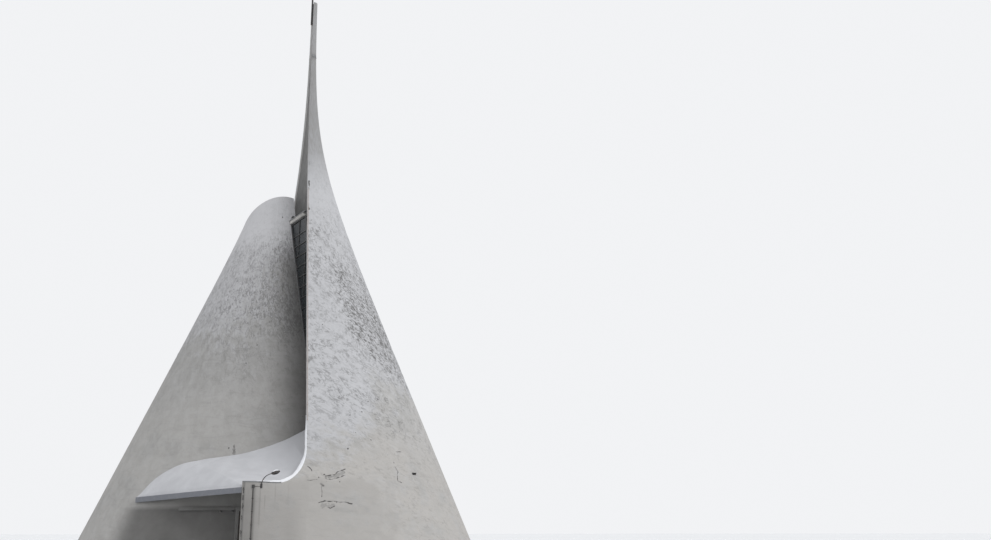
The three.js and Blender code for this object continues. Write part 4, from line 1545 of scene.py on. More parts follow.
@dataclass
class Porch(EndPart):
    """The warped roof between the wing wall and the low shell, and its snow."""

    depth: float = 0.26
    columns: int = 180
    rows: int = 44
    fall: tuple[float, ...] = (-0.012, 0.05, 0.2, 0.262, 0.272)
    proud: tuple[float, ...] = (0.010, 0.014, 0.014, 0.014, 0.022)

    def outer(self, step: Array, z: Array) -> Array:
        """Outer edge: along the eave, then the wing wall, then inside the tall shell.

        Args:
            step: steps along the roof.
            z: heights there.

        Returns:
            Places on the edge.
        """
        left = round_axis(LOW_AXIS, math.radians(PORCH_START), PORCH_START_OUT, z)
        corner = places(WING_END, wing_face(WING_END, z) + WALL + PORCH_GAP, z)
        eave = left + (corner - left) * clip(step / EAVE_STEPS)[..., None]
        x = wing_x(np.clip(step - EAVE_STEPS, 0, WING_STEPS))
        wing = places(x, wing_face(x, z) + WALL + PORCH_GAP, z)
        distance = shell_radius(z) - WALL - 3 * PORCH_GAP
        share = clip((step - EAVE_STEPS - WING_STEPS) / SHELL_STEPS)
        shell = round_axis(TALL_AXIS, slot_angle(TALL_AXIS, distance, PORCH_SLOT_OFFSET) * share, distance, z)
        step = step[..., None]
        return np.where(step <= EAVE_STEPS, eave, np.where(step < EAVE_STEPS + WING_STEPS, wing, shell))

    def inner(self, step: Array, z: Array) -> Array:
        """Inner edge, on the low shell's outer face.

        Args:
            step: steps along the roof.
            z: heights there.

        Returns:
            Places on the edge.
        """
        distance = shell_radius(z) + 0.003
        start = math.radians(PORCH_START)
        angle = start + (slot_angle(LOW_AXIS, distance, PORCH_SLOT_OFFSET) - start) * step / PORCH_STEPS
        return round_axis(LOW_AXIS, angle, distance, z)

    def face(self, drop: float) -> tuple[Array, Array, Array]:
        """Straight lines from the outer edge to the inner edge, lowered by a drop.

        Args:
            drop: how far the face is below the roof's top.

        Returns:
            Steps along the roof, shares across it and places.
        """
        step, share = even_grid((0, PORCH_STEPS), self.columns, (0, 1), self.rows)
        low = curve_through(PORCH_AT_EAVE, step) - drop
        high = curve_through(PORCH_ON_SHELL, PORCH_START + PORCH_REACH * step / PORCH_STEPS) - drop
        across = share[..., None]
        return step, share, self.outer(step, low) * (1 - across) + self.inner(step, high) * across

    def slab(self) -> None:
        """The concrete roof itself."""
        surface = Surface(self.end).sheet(self.face(0.0)[2], self.face(self.depth)[2])
        surface.piece(self.name("porch_roof_slab"), LIGHTENED_SOFFIT, Slot.ROOF, replaces=[self.name("porch_roof")])

    def fascia(self) -> None:
        """Folded metal strip along the eave, with a lip at its foot."""
        step, fall = np.meshgrid(np.linspace(0, EAVE_STEPS, 41), self.fall)
        line = self.outer(step, curve_through(PORCH_AT_EAVE, step) - fall)
        run = line[:, -1] - line[:, 0]
        normal = unit(places(run[:, 1], -run[:, 0], 0))[:, None]
        front = line + normal * np.array(self.proud)[:, None, None]
        surface = Surface(self.end).sheet(front, line - normal * PORCH_GAP)
        surface.piece(self.name("porch_fascia"), FASCIA, Slot.ROOF)

    def snow(self) -> None:
        """Blanket of snow, rounded at the eave and feathered against the shell."""
        step, share, top = self.face(-PORCH_GAP)
        deep = 0.13 + 0.05 * lumps(top, 1.6, 51, 2) + 0.06 * np.sin(np.pi * share)
        deep = deep * dome(1 - clip(share / 0.07)) * dome(1 - clip(step / 1.2))
        shade = 0.75 * smooth(7.0, 17.0, step)
        surface = Surface(self.end).sheet(top + deep[..., None] * UP, top, shade=shade)
        surface.piece(self.name("porch_snow"), SNOW, Slot.ROOF, sharp=80)

    def build(self) -> None:
        """Makes the roof, its edge and its snow."""
        for make in (self.slab, self.fascia, self.snow):
            make()


@dataclass
class GlazedSlot(EndPart):
    """Bars, trims and head of the tall window between the shells."""

    foot: float = 0.1204
    head: float = 20.9996
    first_row: float = 19.98
    row: float = 0.72
    stagger: float = 1.23
    first_mullion: float = 2.8
    face: float = -0.0154
    depth: float = 0.07
    thick: float = 0.05
    rail: float = 0.09
    stile: float = 0.08
    cover: Pair = (0.05, 0.02)

    def strip(
        self, surface: Surface, side: Callable[..., Array], offset: float, inset: float, width: float,
        depth: float, out: float,
    ) -> None:
        """Upright strip that follows one side of the slot, as a running mean of its path.

        Args:
            surface: what the strip is added to.
            side: gives the distances along the slot at heights and an offset.
            offset: where the slot's side is taken.
            inset: distance of the strip's middle from that side.
            width: size along the slot.
            depth: size square to it.
            out: how far its middle stands out from the slot's plane.
        """
        z = np.linspace(self.foot, self.head, 90)
        path = np.pad(side(z, offset) + inset, 4, mode="reflect", reflect_type="odd")
        path = np.convolve(path, np.ones(9) / 9, "valid")
        surface.sweep(plate(width, depth, 0.006), slot_place(path, -out, z), SLOT_ALONG, SLOT_INTO)

    def bars(self) -> None:
        """Stiles, cross bars and staggered mullions outside the glass."""
        surface = Surface(self.end)
        out = self.depth / 2 - self.face
        sunk, depth = 0.012 - out, self.depth - 0.03
        self.strip(surface, slot_start, self.face - self.depth, 0.045, self.stile, self.depth, out)
        self.strip(surface, slot_end, self.face, -0.05, self.stile, self.depth, out)
        rows = np.arange(self.first_row, self.foot + 0.4, -self.row)
        ends = [(self.foot + self.rail / 2, self.rail), (self.head - self.rail / 2, self.rail)]
        for z, thick in [ends[0], *[(z, self.thick) for z in rows], ends[1]]:
            left, right = slot_start(z, self.face) + 0.03, slot_end(z, self.face) - 0.03
            surface.bar(slot_place(left, sunk, z), slot_place(right, sunk, z), thick, depth, SLOT_INTO)
        spots = self.first_mullion + self.stagger * np.arange(9)
        for top, low in zip([self.head - self.rail, *rows], rows):
            z = (top + low) / 2
            free = (spots > slot_start(z, self.face) + 0.6) & (spots < slot_end(z, self.face) - 0.7)
            for spot in spots[free][:1]:
                line = (slot_place(spot, sunk, z) for z in (low, top))
                surface.bar(*line, self.thick, depth, SLOT_INTO)
        surface.piece(self.name("glazing_bars"), BARS, Slot.BARS, replaces=[self.name("glazing_frame")])

    def trim(self) -> None:
        """Pale strip that covers the joint with the low shell."""
        surface = Surface(self.end)
        self.strip(surface, slot_start, self.face - self.depth, 0.02, *self.cover, self.depth + 0.03)
        surface.piece(self.name("glazing_trim"), FLASHING, Slot.BARS)

    def build(self) -> None:
        """Makes the bars and the trim."""
        self.bars()
        self.trim()


@dataclass
class HeadCap(EndPart):
    """Flashing and snow on the beam over the glazed slot."""

    top: float = 21.27
    front: float = 0.17
    lip: float = 0.012
    gauge: float = 0.006
    turned: float = 0.05
    bedding: float = 0.004

    def ends(self, inset: float) -> Pair:
        """Distances along the slot at which the beam starts and ends, less an inset."""
        return slot_start(self.top, -self.front) + inset, slot_end(self.top, -self.front) - inset

    def flashing(self) -> None:
        """Thin metal cap with a turned-down lip along the beam's front edge."""
        fold = self.front + self.lip
        edge, down = fold + self.gauge, -self.turned
        over = [(edge, self.lip), (down, self.lip), (down, self.bedding), (fold, self.bedding)]
        outline = [(fold, down), (edge, down), *over]
        spine = slot_place(np.linspace(*self.ends(0.01), 12), 0.0, self.top)
        surface = Surface(self.end).sweep(outline, spine, -SLOT_INTO, UP)
        surface.piece(self.name("head_flashing"), FLASHING, Slot.CAST)

    def snow(self) -> None:
        """Drift on the beam, deepest at the low shell's end."""
        start, end = self.ends(0.02)
        share, across = even_grid((0, 1), 39, (0, 1), 14)
        distance = start + share * (end - start)
        ground = slot_place(distance, across * (self.front + 0.04) - self.front, self.top + self.lip)
        deep = (0.05 - 0.015 * smooth(0.15, 0.6, share)) * (1 + 0.3 * lumps(ground, 0.3, 81, 2))
        deep = deep * dome(2 * across - 1, 4) * dome(2 * share - 1, 8)
        surface = Surface(self.end).sheet(ground + deep[..., None] * UP, ground - 0.004 * UP)
        surface.piece(self.name("head_snow"), FRESH_SNOW, Slot.CAST, sharp=80)

    def build(self) -> None:
        """Makes the flashing and the snow."""
        self.flashing()
        self.snow()


@dataclass
class DoorPair(EndPart):
    """Two framed and glazed leaves on floor pivots, with pulls and kick plates.

    A rail is the heights of its foot and head. A bead is a width, a depth and the size
    of its cut edges, a pane a thickness and the size of its cut edges, and the kick
    plate the height of its middle and its own height.
    """

    face: float = -11.41
    depth: float = 0.05
    foot: float = 0.132
    top: float = 2.608
    clear: Pair = (0.1204, 2.6196)
    outer: float = 0.938
    pivot: float = 0.88
    inner: float = 0.003
    stile: float = 0.11
    lap: float = 0.003
    rails: tuple[Pair, ...] = ((0.132, 0.36), (1.0, 1.12), (2.478, 2.608))
    pull: Pair = (0.82, 1.72)
    stubs: Pair = (0.86, 1.68)
    stand_off: float = 0.045
    pull_radius: float = 0.014
    stub_radius: float = 0.011
    pin_radius: float = 0.012
    bead: Triple = (0.012, 0.036, 0.002)
    pane: Pair = (0.012, 0.001)
    kick: Pair = (0.245, 0.19)
    rose: tuple[Pair, ...] = ((0.024, 0.0), (0.024, 0.005), (0.012, 0.009))
    lock: tuple[Pair, ...] = ((0.02, 0.0), (0.02, 0.006), (0.012, 0.01), (0.003, 0.01))

    def place(self, *spot: Any) -> Array:
        """Turns places in the doorway's own frame to the building's.

        Args:
            spot: distances across the doorway, inwards and up.

        Returns:
            Places on the building.
        """
        x, y, z = np.broadcast_arrays(*spot)
        c, s = math.cos(DOOR_TURN), math.sin(DOOR_TURN)
        return self.end.placed(places(LOW_AXIS[0] + c * x - s * y, LOW_AXIS[1] + s * x + c * y, z))

    def bar(
        self, surface: Surface, start: Pair, end: Pair, width: float, depth: float, cut: float = 0.004,
        forward: float = 0.0,
    ) -> None:
        """Bar in the plane of a leaf's middle, with its depth outwards.

        Args:
            surface: what the bar is added to.
            start: distance across and height of one end.
            end: distance across and height of the other end.
            width: size in the plane.
            depth: size outwards.
            cut: size of the cut edges.
            forward: how far the bar is in front of the plane.
        """
        y = self.face + self.depth / 2 - forward
        ends = (self.place(x, y, z) for x, z in (start, end))
        surface.bar(*ends, width, depth, self.out, cut)

    @property
    def out(self) -> Array:
        """Direction outwards from the doorway."""
        return self.place(0, -1, 0) - self.place(0, 0, 0)

    def framing(self, side: int, near: float, far: float) -> Surface:
        """Stiles, rails, glazing beads and pivot pins of a leaf.

        Args:
            side: -1 for the left leaf and 1 for the right one.
            near: where its glass starts, beside the other leaf.
            far: where its glass ends.

        Returns:
            The surface.
        """
        surface = Surface()
        for x in (side * (self.inner + self.stile / 2), side * (self.outer - self.stile / 2)):
            self.bar(surface, (x, self.foot), (x, self.top), self.stile, self.depth)
        for low, high in self.rails:
            z = (low + high) / 2
            self.bar(surface, (near, z), (far, z), high - low, self.depth - 0.004)
        for low, high in self.openings:
            for x in (near + side * 0.008, far - side * 0.008):
                self.bar(surface, (x, low), (x, high), *self.bead)
            for z in (low + 0.004, high - 0.004):
                self.bar(surface, (near, z), (far, z), *self.bead)
        for span in ((self.clear[0], self.foot + 0.01), (self.top - 0.01, self.clear[1])):
            pin = self.place(side * self.pivot, self.face + self.depth / 2, np.linspace(*span, 4))
            surface.tube(pin, self.pin_radius, 16)
        return surface

    @property
    def openings(self) -> list[Pair]:
        """Foot and head of each opening between the rails."""
        return [(low[1], high[0]) for low, high in zip(self.rails, self.rails[1:])]

    def fittings(self, side: int, near: float, far: float) -> Surface:
        """Pull bar on two stubs with roses, kick plate and lock of a leaf.

        Args:
            side: -1 for the left leaf and 1 for the right one.
            near: where its glass starts, beside the other leaf.
            far: where its glass ends.

        Returns:
            The surface.
        """
        x, grip = side * (self.inner + 0.09), self.face - self.stand_off
        surface = Surface().tube(self.place(x, grip, np.linspace(*self.pull, 12)), self.pull_radius, 16)
        for z in self.stubs:
            surface.tube(self.place(x, np.linspace(grip, self.face + 0.002, 4), z), self.stub_radius, 14)
            surface.lathe(self.rose, self.place(x, self.face, z), self.out, 20)
        middle, height = self.kick
        ends = [(x, middle) for x in (near + side * 0.01, far - side * 0.01)]
        self.bar(surface, *ends, height, 0.006, 0.001, self.depth / 2)
        lock = self.place(side * (self.inner + 0.055), self.face, 1.06)
        return surface.lathe(self.lock, lock, self.out, 18)

    def build(self) -> None:
        """Both leaves; the front ones move, the rear ones are fixed."""
        for side, word in ((-1, "left"), (1, "right")):
            name = self.name(f"door_{word}")
            body = f"entrance_door_{word}" if self.end is End.FRONT else BUILDING
            sight = self.stile - self.lap
            near, far = side * (self.inner + sight), side * (self.outer - sight)
            self.framing(side, near, far).piece(f"{name}_frame", DOOR_PAINT, Slot.DOOR, body, [name])
            panes = Surface()
            x = (near + far) / 2
            for low, high in self.openings:
                self.bar(panes, (x, low + 0.002), (x, high - 0.002), abs(far - near) - 0.004, *self.pane)
            panes.piece(f"{name}_glass", GLASS, Slot.GLASS, body)
            self.fittings(side, near, far).piece(f"{name}_fittings", BRUSHED, Slot.DOOR, body)


@dataclass
class TallShellMarks:
    """Cracks, chips, joints, a vent and the edge strip on the tall shell's face.

    A patch is the least and greatest distance round the face, and the same for height.
    Places of cracks and chips are degrees round and heights. A spall on the ridge is the
    height of its middle, its length and the most its mark may be. The vent's hood and
    sill are a rise, how far they stand out and a half width, and a slat is a width and a
    thickness.
    """

    shell: Shell
    foot: tuple[Crack, ...] = (
        Crack(0.045, ((0.35, 4.97), (1.0, 4.86), (1.69, 4.71))),
        Crack(0.05, ((5.9, 4.46), (7.86, 4.51), (9.19, 4.54), (10.1, 4.68), (11.32, 4.74), (12.75, 4.82))),
        Crack(0.04, ((6.16, 4.29), (7.78, 4.3), (9.41, 4.32), (11.11, 4.41), (12.51, 4.5))),
        Crack(0.2, ((6.3, 4.38), (9.4, 4.43), (12.2, 4.64)), 0.47),
        Crack(0.025, ((0.2, 4.2), (1.12, 4.22), (3.31, 4.28)), 0.53),
        hole(0.08, 3.8, 4.36), hole(0.075, 5.6, 4.53), hole(0.04, 6.44, 4.16), hole(0.04, 10.6, 4.12),
        Crack(0.12, ((4.35, 4.02), (5.26, 3.91)), 0.5),
        Crack(0.03, ((4.63, 3.86), (4.66, 3.6), (4.65, 3.34)), 0.56),
        Crack(0.06, ((3.4, 3.02), (4.29, 3.08), (5.5, 3.15))), Crack(0.06, ((6.39, 3.1), (7.58, 3.08))),
        hole(0.07, 8.9, 3.08), Crack(0.07, ((11.57, 3.09), (12.63, 3.04), (13.7, 2.99))),
        Crack(0.03, ((5.5, 3.13), (11.57, 3.09)), 0.52), Crack(0.26, ((4.6, 2.88), (7.6, 2.9)), 0.44),
        Crack(0.045, ((6.28, 2.79), (7.0, 2.73), (8.09, 2.85))),
    )
    side: tuple[Crack, ...] = (
        hole(0.09, 32.8, 5.3), Crack(0.05, ((32.76, 5.1), (33.0, 4.98))),
        Crack(0.1, ((33.0, 4.98), (33.09, 4.91), (33.5, 4.8))),
        Crack(0.045, ((33.3, 4.8), (32.92, 4.63), (32.3, 4.35), (32.4, 4.3), (33.99, 4.19))),
        hole(0.08, 35.3, 3.35), Crack(0.04, ((35.6, 5.98), (37.8, 5.98)), 0.55),
    )
    chips: tuple[Pair, ...] = (
        (18.68, 6.89), (24.83, 6.57), (14.76, 5.96), (27.5, 8.8), (17.6, 7.9), (33.4, 9.0), (34.2, 12.4),
        (37.8, 11.9), (34.3, 10.0), (23.3, 8.15), (44.0, 13.1), (52.0, 14.6), (47.0, 15.8), (12.0, 9.3),
        (21.0, 11.6), (41.0, 7.2), (9.0, 13.4), (58.0, 9.4), (120.0, 7.0), (150.0, 9.5), (96.0, 11.2),
    )
    foot_patch: tuple[Pair, Pair] = ((0.02, 2.8), (2.6, 5.3))
    side_turn: float = 34.0
    side_patch: tuple[Pair, Pair] = ((-0.5, 0.85), (3.1, 6.2))
    chip_patch: float = 0.14
    chip_widths: Triple = (0.07, 0.085, 0.1)
    spall_patch: tuple[Pair, Pair] = ((0.01, 0.26), (21.2, 26.0))
    spall_widths: Triple = (0.09, 0.11, 0.13)
    ridge: tuple[Triple, ...] = (
        (24.85, 0.2, 0.43), (23.3, 0.44, 0.85), (22.95, 0.16, 0.47), (22.3, 0.14, 0.42), (21.5, 0.2, 0.6),
    )
    strip: Pair = (7.5, 22.95)
    strip_across: tuple[float, ...] = (0.008, 0.02, 0.07, 0.08)
    strip_lift: tuple[float, ...] = (0.0, 0.009, 0.009, 0.002)
    vent: Pair = (41.6, 4.75)
    hood: Triple = (0.055, 0.07, 0.16)
    sill: Triple = (-0.055, 0.04, 0.15)
    slats: Triple = (-0.027, 0.0, 0.027)
    slat: Pair = (0.034, 0.006)
    cheek: float = 0.145
    sunk: float = 0.06
    thick: float = 0.018

    def cracked(self) -> None:
        """Patches with the cracks at the foot and on the side, and one for each chip."""
        foot, side, chips = Surface(), Surface(), Surface()
        self.shell.patch(foot, 0.0, *self.foot_patch, self.foot)
        self.shell.patch(side, self.side_turn, *self.side_patch, self.side)
        self.shell.holes(chips, self.chip_patch, self.chip_widths * 7, self.chips)
        for surface, word in ((foot, "foot_cracks"), (side, "side_cracks"), (chips, "chips")):
            surface.piece(f"tall_shell_{word}", CONCRETE, Slot.SPRAYED)

    def spalls(self) -> None:
        """Broken places down the near edge at the foot of the spire."""
        cracks = []
        for number, (z, length, most) in enumerate(self.ridge):
            turn = math.degrees((0.06 + 0.02 * math.sin(number * 1.9)) / float(shell_radius(z)))
            knots = ((turn, z + length / 2), (turn * 1.3, z - length / 2))
            cracks.append(Crack(self.spall_widths[number % 3], knots, most))
        surface = Surface()
        self.shell.patch(surface, 0.0, *self.spall_patch, cracks)
        surface.piece("tall_shell_spalls", CONCRETE, Slot.SPRAYED)

    def edge_strip(self) -> None:
        """Narrow cover strip down the near edge, from below the spire to the porch."""
        z, across = np.meshgrid(np.linspace(*self.strip, 220), self.strip_across)
        lift = np.array(self.strip_lift)[:, None]
        angle = self.shell.start + across / shell_radius(z)
        surface = Surface().sheet(self.shell.skin(angle, z, lift), self.shell.skin(angle, z, -0.02))
        surface.piece("tall_shell_edge_strip", EDGE_STRIP, Slot.SPRAYED)

    def vent_hood(self) -> None:
        """Small slotted vent between a hood and a sill."""
        turn, z = self.vent
        angle = math.radians(turn) + self.shell.start
        out = np.array([math.sin(angle), -math.cos(angle), 0.0])
        across = np.array([math.cos(angle), math.sin(angle), 0.0])
        centre = self.shell.skin(np.array([angle]), np.array([z]))[0]
        surface = Surface()
        for rise, proud, half in (self.hood, self.sill):
            middle = centre + UP * rise + out * (proud / 2 - self.sunk / 2)
            surface.bar(middle - across * half, middle + across * half, proud + self.sunk, self.thick, UP)
        reach = across * (self.cheek - 0.01)
        for rise in self.slats:
            middle = centre + UP * rise + out * 0.012
            surface.bar(middle - reach, middle + reach, *self.slat, out + UP * 0.9, 0.001)
        for side in (-self.cheek, self.cheek):
            ends = (centre + across * side + UP * rise for rise in (self.sill[0], self.hood[0]))
            surface.bar(*ends, self.thick, self.hood[1], out)
        surface.piece("tall_shell_vent", FITTING, Slot.METAL)

    def build(self) -> None:
        """Makes all that is on the tall shell's face."""
        for make in (self.cracked, self.spalls, self.edge_strip, self.vent_hood):
            make()


@dataclass
class LowShellMarks:
    """Holes and a weep mark on the low shell's face, as degrees round and heights."""

    shell: Shell
    weep: Crack = Crack(0.17, ((163.4, 6.2), (164.0, 5.66)), 0.5)
    weep_turn: float = 163.7
    weep_patch: tuple[Pair, Pair] = ((-0.25, 0.25), (5.5, 6.4))
    hole_patch: float = 0.13
    hole_width: float = 0.085
    holes: tuple[Pair, ...] = (
        (176.3, 21.5), (166.2, 12.4), (162.0, 11.2), (188.9, 8.0), (161.7, 6.1), (60.0, 9.0), (95.0, 12.5),
    )

    def build(self) -> None:
        """One fine patch for each."""
        surface = Surface()
        self.shell.patch(surface, self.weep_turn, *self.weep_patch, [self.weep])
        widths = [self.hole_width] * len(self.holes)
        self.shell.holes(surface, self.hole_patch, widths, self.holes)
        surface.piece("low_shell_holes", LOW_CONCRETE, Slot.SPRAYED)


@dataclass
class WallLamp:
    """Swan-necked lamp on the wing wall, with its wall plate and snow on its head.

    Places on it are distances across, out from the wall and up from its foot, and the
    head's half sizes are along it, across it and up. The plate is a height, a width and
    a thickness, and its foot and its top have their own distances out. The bolts are a
    distance out that falls with height.
    """

    x: float = -1.8
    foot: float = 3.72
    neck: tuple[Triple, ...] = (
        (0, 0.03, 0.12), (0.015, 0.07, 0.27), (0.06, 0.12, 0.4), (0.14, 0.18, 0.53), (0.24, 0.23, 0.62),
        (0.36, 0.27, 0.685), (0.48, 0.30, 0.72),
    )
    head: Triple = (0.66, 0.33, 0.77)
    half: Triple = (0.24, 0.13, 0.12)
    tilt: float = math.radians(16)
    neck_radii: Pair = (0.027, 0.019)
    plate: Triple = (0.22, 0.12, 0.045)
    plate_out: Pair = (0.018, -0.02)
    bolt_across: Pair = (-0.04, 0.04)
    bolt_up: Pair = (0.03, 0.19)
    bolt_out: Pair = (0.038, 0.17)
    bolt: tuple[Pair, ...] = ((0.011, -0.01), (0.011, 0.006), (0.008, 0.011), (0.002, 0.012))
    socket: tuple[Pair, ...] = ((0.03, 0), (0.034, 0.01), (0.034, 0.05), (0.028, 0.07))
    socket_back: Triple = (0, -0.03, 0.03)
    socket_axis: Triple = (0.1, -0.5, 1)

    def place(self, across: float, out: float, up: float) -> Array:
        """Place on the lamp."""
        return np.array([self.x + across, wing_face(self.x, self.foot) - out, self.foot + up])

    def shaped(
        self, surface: Surface, outline: Array, along: Array, swell: Array, longer: float = 0.0
    ) -> Surface:
        """Carries an outline along the head.

        Args:
            surface: what it is added to.
            outline: distances across the head and up from its middle.
            along: shares of the head's half length.
            swell: size of the outline there.
            longer: what is added to the half length.

        Returns:
            The surface.
        """
        c, s = math.cos(self.tilt), math.sin(self.tilt)
        spine = self.place(*self.head) + along[:, None] * (self.half[0] + longer) * np.array([c, 0, s])
        return surface.sweep(outline, spine, -OUT, (-s, 0, c), swell)

    def body(self) -> None:
        """Wall plate with bolts, tapering neck, collar and the head's housing."""
        height, *sizes = self.plate
        ends = (self.place(0, out, up) for out, up in zip(self.plate_out, (0, height)))
        surface = Surface().bar(*ends, *sizes, OUT, 0.008)
        out, fall = self.bolt_out
        for up in self.bolt_up:
            for across in self.bolt_across:
                surface.lathe(self.bolt, self.place(across, out - fall * up, up), OUT, 8)
        knots = np.array([self.place(*knot) for knot in self.neck])
        steps = np.linspace(0, len(knots) - 1, 50)
        spine = places(*(curve_through(list(enumerate(line)), steps) for line in knots.T))
        surface.tube(spine, np.linspace(*self.neck_radii, 50), 14)
        socket = self.place(*self.neck[0]) - np.array(self.socket_back)
        surface.lathe(self.socket, socket, self.socket_axis, 14)
        s = np.linspace(-1, 1, 25)
        swell = np.sqrt(np.clip(1 - s**2, 0.0004, 1)) * (0.88 + 0.12 * s)
        x, y = disc(24).T
        self.shaped(surface, places(self.half[1] * x, self.half[2] * np.maximum(y, -0.62)), s, swell)
        self.shaped(surface, places((self.half[1] + 0.006) * x, 0.008 * y - 0.008), s, swell, 0.004)
        surface.piece("wall_lamp_body", FITTING, Slot.METAL, replaces=["wall_lamp"])

    def lens(self) -> None:
        """Bowl of clouded glass under the head."""
        s = np.linspace(-0.82, 0.82, 19)
        turn = np.linspace(math.pi, TAU, 13)
        outline = places(self.half[1] * 0.7 * np.cos(turn), self.half[2] * (0.25 * np.sin(turn) - 0.58))
        self.shaped(Surface(), outline, s, dome(s / 0.86)).piece("wall_lamp_lens", SMOKED, Slot.METAL)

    def snow(self) -> None:
        """Small drift on top of the head."""
        s = np.linspace(-0.7, 0.9, 21)
        swell = np.sqrt(np.clip(1 - ((s - 0.1) / 0.81) ** 2, 0.001, 1))
        turn = np.linspace(0, math.pi, 13)
        outline = places(0.085 * np.cos(turn), 0.085 + 0.055 * np.sin(turn))
        self.shaped(Surface(), outline, s, swell).piece("wall_lamp_snow", FRESH_SNOW, Slot.METAL)

    def build(self) -> None:
        """Makes the lamp."""
        for make in (self.body, self.lens, self.snow):
            make()


@dataclass
class WallConduit:
    """Pipe down the wing wall with saddles, a box at its top and a branch to the lamp.

    A saddle is a half width, a height and a thickness, and its arch a half width, a
    height and a radius. The box and its lid are a half height, a distance off the wall,
    a width, a depth and the size of the cut edges. The foot of the arch is the pipe's
    gap off the wall.
    """

    x: float = -2.2
    branch_end: float = -1.86
    foot: float = 0.4
    top: float = 3.78
    radius: float = 0.021
    gap: float = 0.004
    saddles: tuple[float, ...] = (0.6, 1.25, 1.9, 2.55, 3.2)
    saddle_out: float = 0.005
    screw_out: float = 0.011
    saddle: Triple = (0.052, 0.028, 0.012)
    arch: Triple = (0.029, 0.042, 0.006)
    branch: float = 0.011
    screw_across: Pair = (-0.04, 0.04)
    screw: tuple[Pair, ...] = ((0.007, -0.004), (0.007, 0.004), (0.003, 0.006))
    box: tuple[float, ...] = (0.075, 0.03, 0.12, 0.07, 0.008)
    lid: tuple[float, ...] = (0.082, 0.067, 0.134, 0.012, 0.003)

    def on_wall(self, x: Any, z: Any, out: float) -> Array:
        """Places off the wall's face."""
        return places(x, wing_face(x, z) - out, z)

    def build(self) -> None:
        """Pipe, saddles with screws, branch, and a box with a lid."""
        pipe = self.on_wall(self.x, np.linspace(self.foot, self.top, 30), self.radius + self.gap)
        surface = Surface().tube(pipe, self.radius, 14)
        bend = np.linspace(0, math.pi, 13)
        half, *sizes = self.saddle
        across, rise, radius = self.arch
        for z in self.saddles:
            ends = self.on_wall(self.x + np.array([-half, half]), z, self.saddle_out)
            surface.bar(*ends, *sizes, OUT, 0.002)
            arch = self.on_wall(self.x - across * np.cos(bend), z, 0.0)
            surface.tube(arch + (self.gap + rise * np.sin(bend))[:, None] * OUT, radius, 8)
            for side in self.screw_across:
                surface.lathe(self.screw, self.on_wall(self.x + side, z, self.screw_out), OUT, 8)
        along = np.linspace(self.x + 0.05, self.branch_end, 12)
        branch = self.on_wall(along, self.top + 0.02, self.branch + 0.003)
        surface.tube(branch, self.branch, 12)
        for half, out, *sizes, cut in (self.box, self.lid):
            ends = self.on_wall(self.x, self.top + 0.02 + np.array([-half, half]), out)
            surface.bar(*ends, *sizes, OUT, cut)
        surface.piece("wall_conduit_pipe", DULL_PIPE, Slot.METAL, replaces=["wall_conduit"])


@dataclass
class Floodlight:
    """Small floodlight on the front beam, on a yoke, with a finned back.

    Its housing, rim and glass are pairs of a distance outwards and a scale. Its strap and
    tie are a width and a depth.
    """

    foot: float = 21.2704
    inset: float = 0.26
    width: float = 0.28
    height: float = 0.2
    rise: float = 0.145
    corner: float = 0.02
    ear: float = 0.012
    fins: int = 5
    fin: float = 0.006
    fin_span: Pair = (-0.06, 0.06)
    fin_reach: Pair = (-0.09, -0.04)
    strap: Pair = (0.008, 0.03)
    tie: Pair = (0.03, 0.01)
    knob: tuple[Pair, ...] = ((0.014, -0.006), (0.014, 0.008), (0.008, 0.012))
    housing: tuple[Pair, ...] = ((-0.08, 0.55), (-0.05, 0.72), (0.05, 0.95), (0.075, 1))
    rim_wider: float = 0.016
    rim: tuple[Pair, ...] = ((0.07, 1), (0.09, 1))
    crown: tuple[Pair, ...] = ((0.088, 1), (0.092, 0.97), (0.095, 0.85))

    def place(self, along: float, out: float, up: float) -> Array:
        """Place on the floodlight: along the slot, outwards and up from its foot."""
        distance = slot_start(self.foot, 0.0) + self.inset
        return slot_place(distance + along, -out, self.foot + up)

    def layer(self, surface: Surface, wider: float, stations: Sequence[Pair]) -> Surface:
        """Rectangle with cut corners, carried outwards through stations in front of the middle.

        Args:
            surface: what it is added to.
            wider: what is added to its width and height.
            stations: distances outwards and scales.

        Returns:
            The surface.
        """
        outline = plate(self.width + wider, self.height + wider, self.corner)
        spine = np.array([self.place(0, out, self.rise) for out, _ in stations])
        return surface.sweep(outline, spine, SLOT_ALONG, UP, [scale for _, scale in stations])

    def body(self) -> None:
        """Tapered housing, rim, fins, yoke and foot plate."""
        surface = self.layer(Surface(), 0.0, self.housing)
        self.layer(surface, self.rim_wider, self.rim)
        for along in np.linspace(*self.fin_span, self.fins):
            ends = (self.place(along, out, self.rise) for out in self.fin_reach)
            surface.bar(*ends, self.fin, self.height * 0.6, UP, 0.001)
        for side in (-1, 1):
            along = side * (self.width / 2 + self.ear)
            ends = (self.place(along, 0, up) for up in (0.006, self.rise + 0.015))
            surface.bar(*ends, *self.strap, -SLOT_INTO, 0.002)
            surface.lathe(self.knob, self.place(along, 0, self.rise), SLOT_ALONG * side, 10)
        half = self.width / 2 + self.ear + 0.004
        surface.bar(self.place(-half, 0, 0.006), self.place(half, 0, 0.006), *self.tie, UP, 0.002)
        surface.piece("floodlight_body", FITTING, Slot.METAL, replaces=["floodlight"])

    def glass(self) -> None:
        """Slightly crowned front glass."""
        self.layer(Surface(), -self.corner, self.crown).piece("floodlight_glass", SMOKED, Slot.METAL)

    def build(self) -> None:
        """Makes the floodlight."""
        self.body()
        self.glass()


